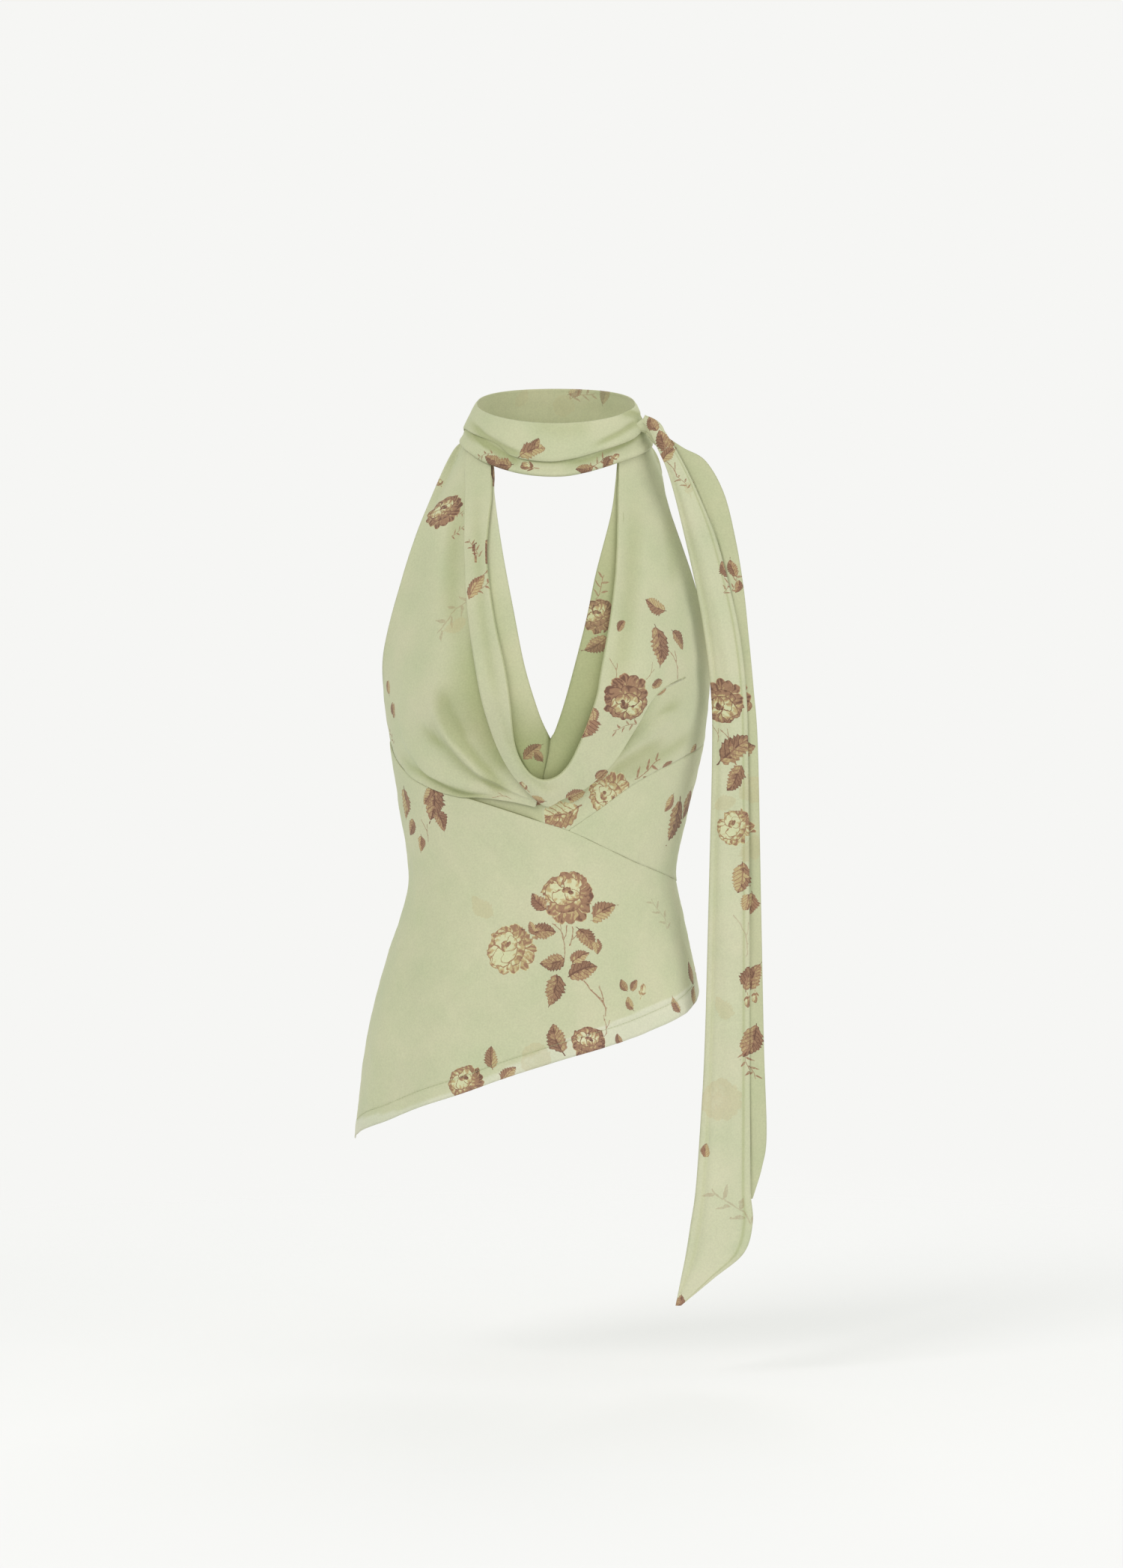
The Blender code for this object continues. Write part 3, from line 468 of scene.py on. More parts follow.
BUD_PETALS = (
    (0.00, -0.78, 0.05, 0.34, 90, 0.46, 0.0), (-0.26, -0.30, 0.11, 0.34, 128, 0.62, 0.1),
    (0.27, -0.24, 0.11, 0.34, 52, 0.62, 0.1), (0.00, 0.22, 0.36, 0.56, 90, 0.40, 0.25),
    (0.15, 0.20, 0.22, 0.46, 82, 0.16, 0.30), (-0.14, 0.12, 0.20, 0.48, 96, 0.50, 0.25),
    (0.00, -0.26, 0.22, 0.18, -90, 0.60, 0.15),
)
MOTIF_SHARE = 0.38          # half of a motif, as a share of its square of the print's map
MOTIF_HALVES = {ROSE: (1.08, 1.08), LEAF: (0.86, 1.14), BUD: (0.62, 1.10), STEM: (0.80, 1.06),
                SHOOT: (0.70, 1.04)}
MOTIF_REACH, MOTIF_AWAY = 1.30, 2.0     # how far past its square a motif is laid, and off it
SEEN_WITHIN, LEVEL_WITHIN, TURNED_AWAY = 14, 2.5, 8     # pixels, to find a place of the picture

# One spray of the hidden sides, and how the sprays are laid, in millimetres and degrees
SPRAY = (
    # motif, right, up, length, turn, tone
    (ROSE, 0, 0, 50, 10, FULL), (LEAF, 33, -10, 27, -68, FULL), (LEAF, 22, -33, 25, -150, DARK),
    (LEAF, -29, 20, 22, 50, DARK), (STEM, -2, -40, 44, 5, FULL), (LEAF, -15, -58, 24, 100, DARK),
    (LEAF, 12, -63, 27, -75, DARK), (LEAF, -8, -82, 25, 165, FULL), (LEAF, 34, 22, 15, -40, FULL),
)
SPRAY_SPACING, SPRAY_LEAN, SPRAY_TRIES = 118, 40, 4000
HIDDEN_FACING, CLOTH_WITHIN = 0.12, 9

# Size that each piece is cut to: width, length, area in metres, and how it is held
SHEETS = {
    "left_front": (0.20, 0.34, 0.0356, "draped"),
    "cowl": (0.30, 0.36, 0.0554, "draped"),
    "left_facing": (0.05, 0.33, 0.0067, "draped"),
    "right_facing": (0.05, 0.33, 0.0072, "draped"),
    "skirt": (0.43, 0.37, 0.0841, "draped"),
    "midriff": (0.17, 0.13, 0.0124, "draped"),
    "back": (0.38, 0.37, 0.1024, "draped"),
    "scarf_upper_wrap": (0.20, 0.06, 0.0069, "gathered"),
    "scarf_lower_wrap": (0.20, 0.06, 0.0055, "gathered"),
    "scarf_nape_band": (0.22, 0.05, 0.0094, "gathered"),
    "tail": (0.06, 0.83, 0.0303, "hung"),
    "tail_under": (0.04, 0.72, 0.0201, "hung"),
}

# Edges of the cloths, as how deep they are turned in and the share of the width they take
LOOSE_EDGE, STRAP_EDGE, FACING_EDGE = (2.2, 0.03), (0.7, 0.03), (0.8, 0.06)
UPPER_WRAP_EDGES, LOWER_WRAP_EDGE = ((0.8, 0.04), (1.2, 0.05)), (0.9, 0.04)
NAPE_EDGE, NAPE_FOLD = (0.9, 0.05), (0.7, 186, 1.2)
COWL_EDGE_LINES, COWL_EDGE_END = (0, 0.012, 0.028, 0.05), 0.08
CUP_CLOSING = ((0.25, 0.6), (0.5, 0.84), (0.75, 0.66))      # share of the way, and its sag
BEHIND_REACH, BEHIND_DEPTH = 74, 3.4    # cloth that runs on to the left, behind the left front
BEHIND_LOW, BEHIND_RISE = 0.3, 2
TAIL_FOLD, TAIL_WAVE, TAIL_WAVE_LINES, TAIL_WAVE_LENGTH = (1.1, 0.05), 0.8, 9, 55
KNOT_FURROWS = ((0.16, 1.5, 0.6, 0.25), (0.10, 2.5, 1.9, 0.2))      # depth, turns, from, wide

# Slow unevenness of the cloth, and the share of it that each piece has
RUMPLES = (
    # width, height, shift, depth
    (31, 47, 0.4, 0.32), (19, 27, 2.1, 0.2), (13, 15, 4.4, 0.12),
)
COWL_RUMPLE, UPPER_WRAP_RUMPLE, LOWER_WRAP_RUMPLE, TAIL_RUMPLE = 0.8, 0.6, 0.5, 0.5

# Painted shade on the cloth: how far it is darkened in furrows, past the rim and behind another
# cloth
FURROW_SHADE, COWL_FURROW_SHADE, FURROW_DEPTH = 0.75, 0.6, 1.3
RIM_SHADE, CUP_SHADE, LOWER_WRAP_SHADE = 0.6, 0.8, 0.7
BEHIND_SHADE, UNDER_TAIL_SHADE = 0.45, 0.3

# Surfaces of the cloth, the thread and the floor
CREPE_SURFACE = {"Roughness": 0.82, "Specular IOR Level": 0.22, "Sheen Weight": 0.16,
                 "Sheen Roughness": 0.55}
THREAD_SURFACE = {"Roughness": 0.6}
FLOOR_SURFACE = {"Roughness": 0.9, "Specular IOR Level": 0.1,
                 "Emission Color": (0.900, 0.900, 0.950, 1), "Emission Strength": 0.13}
# Shares of the ground's colour: towards white where the cloth is made paler, and of the ground
# where painted shade darkens it
PALER, SHADED_GROUND = (0.20, 0.19, 0.20), (0.71, 0.74, 0.58)      # towards white, and of the ground
CRINKLE_SHADE, SLOW_SHADE, HUE_DRIFT = 0.26, 0.12, (0.26, 0.12, 0.24)
GRAIN_BUMP = 0.55
GHOST_PRINT, GHOST_STEM = 0.74, 0.62    # how much of the ink a ghost of a motif loses

# Floor, sky, light and camera
FLOOR_LEVEL, FLOOR_RADIUS, FLOOR_SIDES, FLOOR_FADE = -0.862, 6.0, 96, (1.9, 0.3)
SKY_SHOWN, SKY_LIGHT, SKY_STRENGTH = (0.922, 0.922, 0.905, 1), (0.95, 1.0, 0.88, 1), 0.66
LIGHTS = (
    # name, place, width, power
    ("Key light", (-2.0, -2.5, 1.9), 1.5, 39),
    ("Fill light", (2.9, -2.2, 0.2), 2.4, 37),
    ("Back light", (0.6, 3.2, 1.6), 2.6, 30),
)
LIGHT_COLOUR, LIGHT_AIM = (1.0, 0.975, 0.945), (0, 0, -0.32)
SENSOR_WIDTH, VIEW_END = 36.0, 50.0


def gentle_tangents(slopes):
    """The slope at each place, from the slopes between them, so that a cubic never overshoots."""
    before, after = slopes[:-1], slopes[1:]
    same = before * after > 0
    middle = np.where(same, 2 * before * after / np.where(same, before + after, 1), 0)
    return np.concatenate([slopes[:1], middle, slopes[-1:]])


def cubic(start, rise, leave, arrive, t):
    return (start + leave * t + (3 * rise - 2 * leave - arrive) * t**2
            + (leave + arrive - 2 * rise) * t**3)


def curve_through(table, column):
    """A smooth function through one column of a table, over its first."""
    rows = sorted((row[0], row[column]) for row in table)
    keys = np.array([row[0] for row in rows], float)
    values = np.array([row[1] for row in rows], float)
    steps = np.diff(keys)
    tangents = gentle_tangents(np.diff(values) / steps)

    def at(x):
        x = np.clip(x, keys[0], keys[-1])
        i = np.clip(np.searchsorted(keys, x) - 1, 0, len(keys) - 2)
        return cubic(values[i], values[i + 1] - values[i], tangents[i] * steps[i],
                     tangents[i + 1] * steps[i], (x - keys[i]) / steps[i])

    return at


def across(places, values, t):
    """Values for each row, given at the places across it, at every t: rows by lines."""
    places, values = np.array(places, float), np.array(values, float)
    steps = np.diff(places)
    tangents = gentle_tangents(np.diff(values, axis=0) / steps[:, None])
    i = np.clip(np.searchsorted(places, t) - 1, 0, len(places) - 2)
    span = steps[i][:, None]
    return cubic(values[i], values[i + 1] - values[i], tangents[i] * span, tangents[i + 1] * span,
                 ((t - places[i]) / steps[i])[:, None]).T


def rows_between(table, v):
    """Smooth rows of the table at each v, counted in rows from its first."""
    rows = np.array(table, float)
    last = len(rows) - 1
    padded = np.vstack([2 * rows[0] - rows[1], rows, 2 * rows[last] - rows[last - 1]])
    i = np.clip(np.floor(v).astype(int), 0, last - 1)
    t = (v - i)[:, None]
    a, b, c, d = (padded[i + k] for k in range(4))
    return 0.5 * (2 * b + (c - a) * t + (2 * a - 5 * b + 4 * c - d) * t**2
                  + (3 * b - a - 3 * c + d) * t**3)


def columns(table, v):
    """The table's columns at each v, each standing up as one line of a grid."""
    return (column[:, None] for column in rows_between(table, v).T)


LEFT_HALF, RIGHT_HALF = curve_through(BODY, 1), curve_through(BODY, 2)
FRONT_DEPTH, BACK_DEPTH = curve_through(BODY, 3), curve_through(BODY, 4)
ARMHOLE_FORWARD = curve_through(ARMHOLE, 1)
WAIST_Z, BUST_Z, HEM_Z = (curve_through(seam, 1) for seam in (WAIST_SEAM, BUST_SEAM, HEM))


def soft_step(x):
    """0 below 0 and 1 above 1, with soft ends between."""
    x = np.clip(x, 0, 1)
    return x * x * (3 - 2 * x)


def grows(x, start, over):
    """From 0 at the start to 1 a little past it."""
    return soft_step((x - start) / over)


def fades(x, end, over):
    """From 1 to 0 at the end."""
    return soft_step((end - x) / over)


def hump(x):
    """1 at 0, falling away softly on both sides."""
    return np.exp(-(x**2))


def half_width(x, z):
    return np.where(x < 0, LEFT_HALF(z), RIGHT_HALF(z))


def neck_depth(x, z, inset):
    wide = NECK_HALF_WIDTH + NECK_FLARE_SIDE * (NECK_LEVEL - z) - inset
    deep = NECK_HALF_DEPTH - NECK_FLARE_FRONT * z - inset
    share = np.minimum(1, np.abs(x - NECK_X) / wide)
    return NECK_Y - deep * np.sqrt(1 - share**2)


def bust_form(x, z):
    side, down = (np.abs(x) - BUST["x"]) / BUST["wide"], (z - BUST["z"]) / BUST["tall"]
    return BUST["proud"] * np.exp(-(side**2) - down**2)


def seam_height(x, seam):
    z = np.full(np.shape(x), -320.0)
    for _ in range(4):
        z = seam(np.degrees(np.arcsin(np.clip(x / half_width(x, z), -1, 1))))
    return z


def chest_depth(x, z):
    """The depth of the front of the filled garment at x and z, with no fold."""
    share = np.minimum(1, np.abs(x) / half_width(x, z))
    form = FRONT_DEPTH(z) * np.sqrt(1 - share**2) + bust_form(x, z)
    chest = -((form**4 + ARMHOLE_FORWARD(z) ** 4) ** 0.25)
    low = soft_step((NECK_BLEND_TOP - z) / (NECK_BLEND_TOP - NECK_BLEND_BOTTOM))
    return low * chest + (1 - low) * neck_depth(x, z, 1.4)


def chest_points(x, z, lift):
    """Points of the front, lifted off the filled form square to it."""
    slope = chest_depth(x + 0.4, z) - chest_depth(x - 0.4, z)
    length = np.hypot(slope, 0.8)
    return np.stack([x + lift * slope / length, chest_depth(x, z) - lift * 0.8 / length, z], -1)


def ring_points(turn, z, out):
    """Points of the body's rings below the bust, at a turn from the front."""
    angle = np.radians(turn)
    half = np.where(np.sin(angle) < 0, LEFT_HALF(z), RIGHT_HALF(z)) + out
    depth = np.where(np.cos(angle) > 0, FRONT_DEPTH(z), BACK_DEPTH(z)) + out
    x, y = half * np.sin(angle), -depth * np.cos(angle)
    return np.stack([x, y - np.where(y < 0, bust_form(x, z), 0), z], -1)


def neck_points(turn, z, out):
    """Points of the scarf's ring, at a turn from the front."""
    angle = np.radians(turn)
    wide = NECK_HALF_WIDTH + NECK_FLARE_SIDE * (NECK_LEVEL - z) + out
    deep = NECK_HALF_DEPTH - NECK_FLARE_FRONT * z + out
    return np.stack([NECK_X + wide * np.sin(angle), NECK_Y - deep * np.cos(angle), z], -1)


def rim_height(turn):
    angle = np.radians(turn)
    return RIM_LEVEL - RIM_TILT * np.cos(angle) + RIM_SIDE_LIFT * np.sin(angle) ** 2


def picture_places(points):
    """Where points in millimetres fall in the picture, in its pixels."""
    x, y, z = points[..., 0], points[..., 1], points[..., 2] - AIM_Z
    depth = VIEW_DISTANCE + y * math.cos(VIEW_LIFT) - z * math.sin(VIEW_LIFT)
    up = y * math.sin(VIEW_LIFT) + z * math.cos(VIEW_LIFT)
    scale = VIEW_DISTANCE / depth / MM_PER_PIXEL
    return (PICTURE_SIZE[0] / 2 + (x - AIM_X) * scale, PICTURE_SIZE[1] / 2 - up * scale)


def front_places(line, depth_at):
    """The x and z on a front form of a line drawn in the picture."""
    px, py = np.array(line, float).T
    right, up = px - PICTURE_SIZE[0] / 2, PICTURE_SIZE[1] / 2 - py
    x, z = right * MM_PER_PIXEL + AIM_X, up * MM_PER_PIXEL + AIM_Z
    for _ in range(4):
        y = depth_at(x, z)
        depth = VIEW_DISTANCE + y * math.cos(VIEW_LIFT) - (z - AIM_Z) * math.sin(VIEW_LIFT)
        scale = MM_PER_PIXEL * depth / VIEW_DISTANCE
        x = AIM_X + right * scale
        z = AIM_Z + (up * scale - y * math.sin(VIEW_LIFT)) / math.cos(VIEW_LIFT)
    return x, z


def crease_relief(x, z, creases, depth_at):
    """How far the creases raise the cloth at x and z. Each fades out towards its ends."""
    total = np.zeros(np.shape(x))
    for height, above, below, line in creases:
        lx, lz = front_places(line, depth_at)
        best = np.full(np.shape(x), np.inf)
        side, along = np.zeros(np.shape(x)), np.zeros(np.shape(x))
        last = len(lx) - 1
        for i in range(last):
            ax, az = lx[i + 1] - lx[i], lz[i + 1] - lz[i]
            length = math.hypot(ax, az)
            t = np.clip(((x - lx[i]) * ax + (z - lz[i]) * az) / length**2, 0, 1)
            dx, dz = x - lx[i] - ax * t, z - lz[i] - az * t
            distance = np.hypot(dx, dz)
            near = distance < best
            best = np.where(near, distance, best)
            side = np.where(near, ax * dz - az * dx, side)
            along = np.where(near, (i + t) / last, along)
        fade = soft_step(np.minimum(along, 1 - along) / 0.3)
        total += height * fade * hump(best / np.where(side > 0, above, below))
    return total


def rumple(x, z, size=1.0):
    """Slow, shallow unevenness of worn crepe, the same on each run."""
    total = np.zeros(np.broadcast(x, z).shape)
    for wide, tall, shift, height in RUMPLES:
        total += height * np.sin(x / wide * math.tau + shift + 1.3 * np.sin(z / tall)) * np.sin(
            z / tall * math.tau + 2 * shift + 1.1 * np.sin(x / wide))
    return total * size


def length_property(name, description, default, least, most):
    return FloatProperty(name=name, description=description, default=default, min=least, max=most,
                         unit="LENGTH")


def colour_property(name, description, rgb):
    return FloatVectorProperty(name=name, description=description, subtype="COLOR", size=3,
                               min=0.0, max=1.0, default=rgb)


class CowlTopSizes(bpy.types.PropertyGroup):
    """Sizes of the cloth and its sewing."""

    cloth: length_property("Cloth", "Thickness of the crepe", 0.0007, 0.0004, 0.0012)
    hem: length_property("Hem", "Height of the turned hem", 0.0155, 0.005, 0.03)
    stitch: length_property("Stitch", "Length of one stitch", 0.0021, 0.001, 0.005)
    stitch_gap: length_property("Stitch gap", "Space between two stitches", 0.0009, 0.0002, 0.003)
    thread: length_property("Thread", "Radius of the thread", 0.00016, 0.00005, 0.0005)
    crinkle: length_property("Crinkle", "Depth of the crepe's grain", 0.00025, 0.0, 0.001)
    rumple: FloatProperty(name="Rumple", description="Share of the slow unevenness of the cloth",
                          default=1.0, min=0.0, max=3.0, subtype="FACTOR")
    seed: IntProperty(name="Print seed", description="Lays the print of the hidden sides",
                      default=7, min=0)


class CowlTopColours(bpy.types.PropertyGroup):
    """Colours of the cloth, its print and its thread."""

    cloth: colour_property("Cloth", "Sage ground of the crepe", (0.588, 0.592, 0.410))
    # The facing and inside colours are the sage ground darkened: painted shade of the straps'
    # turned faces and of the cloth's back
    facing: colour_property("Facing", "Turned faces of the straps", (0.560, 0.564, 0.372))
    inside: colour_property("Inside", "Back of the cloth", (0.545, 0.550, 0.362))
    dark_ink: colour_property("Dark ink", "Dark brown of the print", (0.150, 0.055, 0.042))
    brown_ink: colour_property("Brown ink", "Middle brown of the print", (0.335, 0.175, 0.110))
    tan_ink: colour_property("Tan ink", "Light brown of the print", (0.520, 0.390, 0.200))
    cream_ink: colour_property("Cream ink", "Cream of the petals", (0.700, 0.690, 0.430))
    thread: colour_property("Thread", "Sewing thread", (0.500, 0.540, 0.330))
    floor: colour_property("Floor", "Studio floor", (0.90, 0.88, 0.94))


def sizes():
    return bpy.context.scene.cowl_top_sizes


def colours():
    return bpy.context.scene.cowl_top_colours


def feed(tree, socket, value):
    """Give a socket its value: a sum, another socket, a colour or a number."""
    if isinstance(value, Sum):
        value = value.socket
    if isinstance(value, bpy.types.NodeSocket):
        tree.links.new(value, socket)
    elif isinstance(value, tuple) and len(value) == 3:
        socket.default_value = (*value, 1)
    else:
        socket.default_value = value


def add_node(tree, kind, inputs=(), **settings):
    """A node with its settings, then its inputs, by name or by place."""
    node = tree.nodes.new(kind)
    for label, value in settings.items():
        setattr(node, label, value)
    for label, value in dict(inputs).items():
        feed(tree, node.inputs[label], value)
    return node


def sum_of(tree, operation, *values):
    node = add_node(tree, "ShaderNodeMath", enumerate(values), operation=operation)
    return Sum(tree, node.outputs[0])


def noise(tree, place, scale, detail=2.0):
    inputs = {"Vector": place, "Scale": scale, "Detail": detail}
    return Sum(tree, add_node(tree, "ShaderNodeTexNoise", inputs).outputs["Fac"])


class Sum:
    """A number in a node tree. Arithmetic on it puts a node for each step into the tree."""

    def __init__(self, tree, socket):
        self.tree, self.socket = tree, socket

    def put(self, operation, *values):
        return sum_of(self.tree, operation, self, *values)

    def __add__(self, other):
        return self.put("ADD", other)

    def __sub__(self, other):
        return self.put("SUBTRACT", other)

    def __rsub__(self, other):
        return sum_of(self.tree, "SUBTRACT", other, self)

    def __mul__(self, other):
        return self.put("MULTIPLY", other)

    def __truediv__(self, other):
        return self.put("DIVIDE", other)

    def __abs__(self):
        return self.put("ABSOLUTE")

    def fuse(self, by, plus):
        """This times by, and plus."""
        return self.put("MULTIPLY_ADD", by, plus)

    def most(self, *others):
        found = self
        for other in others:
            found = found.put("MAXIMUM", other)
        return found

    def equals(self, number):
        return self.put("COMPARE", float(number), 0.1)

    def wave(self, times, shift):
        return (self * times + shift).put("COSINE")

    def ramp(self, low, high):
        """0 at low and 1 at high, with soft ends."""
        inputs = enumerate((self, low, high, 0.0, 1.0))
        node = add_node(self.tree, "ShaderNodeMapRange", inputs, interpolation_type="SMOOTHSTEP")
        return Sum(self.tree, node.outputs[0])

    def mix(self, a, b):
        """The colour a where this is 0, and b where it is 1."""
        node = add_node(self.tree, "ShaderNodeMix", {0: self, 6: a, 7: b}, data_type="RGBA")
        return node.outputs[2]


def new_group(name, inputs, outputs):
    """A shader node group, its inputs' sockets inside it, and its outputs'."""
    group = bpy.data.node_groups.new(name, "ShaderNodeTree")
    for way, sockets in (("INPUT", inputs), ("OUTPUT", outputs)):
        for label, kind in sockets.items():
            group.interface.new_socket(label, in_out=way, socket_type="NodeSocket" + kind)
    given = group.nodes.new("NodeGroupInput").outputs
    return group, given, group.nodes.new("NodeGroupOutput").inputs


def print_sockets(*inks):
    sockets = {label: "Color" for label in ("Ground", *inks)}
    return {**sockets, "Map": "Vector", "Place": "Vector", "Strength": "Float"}


def painted_petals(petals, x, y, ripple, stroke):
    """Petals laid over each other: the share that is printed, and how deep the ink is."""
    whole, depth = 0.0, 0.0
    for right, up, wide, long, way, base, rise in petals:
        c, s = math.cos(math.radians(way)), math.sin(math.radians(way))
        along = x.fuse(c / long, y.fuse(s / long, -(right * c + up * s) / long))
        aside = x.fuse(-s / wide, y.fuse(c / wide, (right * s - up * c) / wide))
        reach = ripple.fuse(0.95, along.fuse(along, aside * aside).put("SQRT"))
        inside, rim = reach.ramp(1.0, 0.93), reach.ramp(0.80, 0.92)
        streak = aside.fuse(9.0, ripple.fuse(14.0, 5.0 * up)).put("COSINE")
        tone = streak.fuse(0.12, along.fuse(rise, base) + stroke)
        tone = tone.most(rim * 0.74) if base < 0.45 else rim.fuse(-0.30, tone)
        depth = inside.fuse(tone - depth, depth)
        whole = inside.most(whole)
    return whole, depth


def leaf_masks(x, y, ripple, stroke):
    """A toothed leaf, one half dark and one pale, with a midrib and slanting veins."""
    bent = x - y * y * 0.16
    off = abs(bent)
    tooth = abs(y.fuse(4.2, off * -1.8).put("FRACT") - 0.5)
    form = (1.0 - y * y).most(0.0).put("POWER", 0.75) * y.fuse(-0.16, 0.66)
    gap = ripple.fuse(0.45, form * tooth.fuse(0.46, 0.80) - off)
    rib = off.ramp(0.055, 0.02)
    slant = abs(y.fuse(3.4, off * -3.0).put("FRACT") - 0.5)
    vein = slant.ramp(0.13, 0.05) * gap.ramp(0.02, 0.14)
    shaded = ripple.fuse(1.6, bent).ramp(0.07, -0.07)
    depth = shaded.fuse(0.28, 0.32) + rib.most(vein) * 0.28 + gap.ramp(0.09, 0.02) * 0.20
    stem = off.ramp(0.05, 0.02) * y.ramp(-0.80, -0.86)
    return gap.ramp(0.0, 0.035).most(stem), depth + stroke * 0.7


def stem_mask(x, y):
    """A thin bent stem with one side shoot and a few thorns."""
    off = x - (y.wave(1.9, 0.5) * 0.22 - 0.12)
    main = abs(off).ramp(0.036, 0.016) * abs(y).ramp(1.0, 0.95)
    fork = abs(off - (y + 0.15) * 0.6).ramp(0.034, 0.014)
    fork = fork * y.ramp(-0.17, -0.13) * y.ramp(0.52, 0.44)
    thorn = (y * 2.2).put("FRACT").fuse(0.25, abs(off - 0.02)).ramp(0.07, 0.04)
    return main.most(fork, thorn * abs(y).ramp(0.9, 0.85))


def shoot_mask(x, y, ripple):
    """A thin shoot with pointed leaflets on both sides in turn."""
    off = x - y.wave(2.3, 1.2) * 0.16
    stem = abs(off).ramp(0.036, 0.016) * abs(y).ramp(0.97, 0.92)
    turn = y * 3.0
    side = (turn.put("FLOOR") * 0.5).put("FRACT") * 4.0 - 1.0
    out = off * side - 0.26
    tilt = out.fuse(-0.6, (turn.put("FRACT") - 0.5) * 0.34)
    reach = out / 0.25
    leaf = reach.fuse(reach, (tilt / out.fuse(-0.18, 0.085)).put("POWER", 2.0))
    leaf = ripple.fuse(2.0, leaf).ramp(1.0, 0.75)
    return (leaf * abs(y).ramp(1.0, 0.96)).most(stem)


def motif_places(group, given):
    """A motif's kind and tone, and the place in it from its middle, in halves of its length."""
    split = add_node(group, "ShaderNodeSeparateXYZ", {0: given["Map"]})
    kinds, tones = (Sum(group, split.outputs[k]) for k in (0, 1))
    x, y = ((part.put("FRACT") - 0.5) / MOTIF_SHARE for part in (kinds, tones))
    ripple = noise(group, given["Place"], 130.0) - 0.5
    bend = noise(group, given["Place"], 75.0) - 0.5
    return kinds.put("FLOOR"), tones.put("FLOOR"), bend.fuse(0.30, x), ripple.fuse(0.22, y), ripple


def print_group():
    """Rose, leaf and bud, drawn about the middle of each motif's own square of the map."""
    found = bpy.data.node_groups.get("Rose and leaf print")
    if found:
        return found
    sockets = print_sockets("Dark ink", "Brown ink", "Tan ink", "Cream ink")
    group, given, target = new_group("Rose and leaf print", sockets, {"Color": "Color"})
    kind, tone, x, y, ripple = motif_places(group, given)
    radius = x.fuse(x, y.fuse(y, 0.0001)).put("SQRT")
    ray = add_node(group, "ShaderNodeCombineXYZ", enumerate((x / radius, y / radius, radius)))
    stroke = (noise(group, ray.outputs[0], 5.5, 3.0) - 0.5) * 0.62
    masks = {
        ROSE: painted_petals(ROSE_PETALS, x, y, ripple, stroke),
        LEAF: leaf_masks(x, y, ripple, stroke),
        BUD: painted_petals(BUD_PETALS, x, y, ripple, stroke),
    }
    whole, depth = 0.0, 0.0
    for motif, (share, ink) in masks.items():
        here = kind.equals(motif)
        whole, depth = share.fuse(here, whole), ink.fuse(here, depth)
    depth = tone.equals(CREAM).fuse(-0.15, tone.equals(DARK).fuse(0.11, depth))
    depth = (noise(group, given["Place"], 1500.0) - 0.5).fuse(0.14, depth)
    ink, ghost = given["Cream ink"], tone.equals(GHOST)
    for low, high, deeper in ((0.12, 0.30, "Tan ink"), (0.34, 0.50, "Brown ink"),
                              (0.62, 0.86, "Dark ink")):
        ink = depth.ramp(low, high).mix(ink, given[deeper])
    share = whole * (ghost.fuse(-GHOST_PRINT, 1.0) * given["Strength"])
    share = share * depth.ramp(0.1, 0.35).fuse(0.35, 0.58)
    feed(group, target["Color"], share.mix(given["Ground"], ghost.mix(ink, given["Tan ink"])))
    return group


def stem_group():
    """Stems and shoots, on a map of their own so that they run under the leaves."""
    found = bpy.data.node_groups.get("Stem print")
    if found:
        return found
    group, given, target = new_group("Stem print", print_sockets("Ink"), {"Color": "Color"})
    kind, tone, x, y, ripple = motif_places(group, given)
    mask = shoot_mask(x, y, ripple).fuse(kind.equals(SHOOT), stem_mask(x, y) * kind.equals(STEM))
    worn = noise(group, given["Place"], 420.0).ramp(0.34, 0.60).fuse(0.38, 0.56)
    share = mask * worn * tone.equals(GHOST).fuse(-GHOST_STEM, 1.0) * given["Strength"]
    feed(group, target["Color"], share.mix(given["Ground"], given["Ink"]))
    return group


def grain_group():
    """The crepe's fine crinkle: a height, and a faint unevenness of shade."""
    found = bpy.data.node_groups.get("Crepe grain")
    if found:
        return found
    group, given, target = new_group("Crepe grain", {"Place": "Vector"},
                                     {"Height": "Float", "Shade": "Vector"})
    crinkle, ridges, slow, drift = (noise(group, given["Place"], scale, detail) for scale, detail
                                    in ((620.0, 3.0), (300.0, 2.0), (14.0, 2.0), (26.0, 3.0)))
    feed(group, target["Height"], crinkle * 0.6 + abs(ridges - 0.5) * 0.9)
    shade = (crinkle - 0.5).fuse(CRINKLE_SHADE, (slow - 0.5).fuse(SLOW_SHADE, 1.0))
    tinted = add_node(group, "ShaderNodeCombineXYZ",
                      enumerate((drift - 0.5).fuse(share, shade) for share in HUE_DRIFT))
    feed(group, target["Shade"], tinted.outputs[0])
    return group


def new_material(name, surface):
    """A material with these settings of its surface: it, its nodes, shader and object places."""
    material = bpy.data.materials.new(name)
    material.use_nodes = True
    tree = material.node_tree
    shader = tree.nodes["Principled BSDF"]
    for label, value in surface.items():
        shader.inputs[label].default_value = value
    return material, tree, shader, tree.nodes.new("ShaderNodeTexCoord").outputs["Object"]


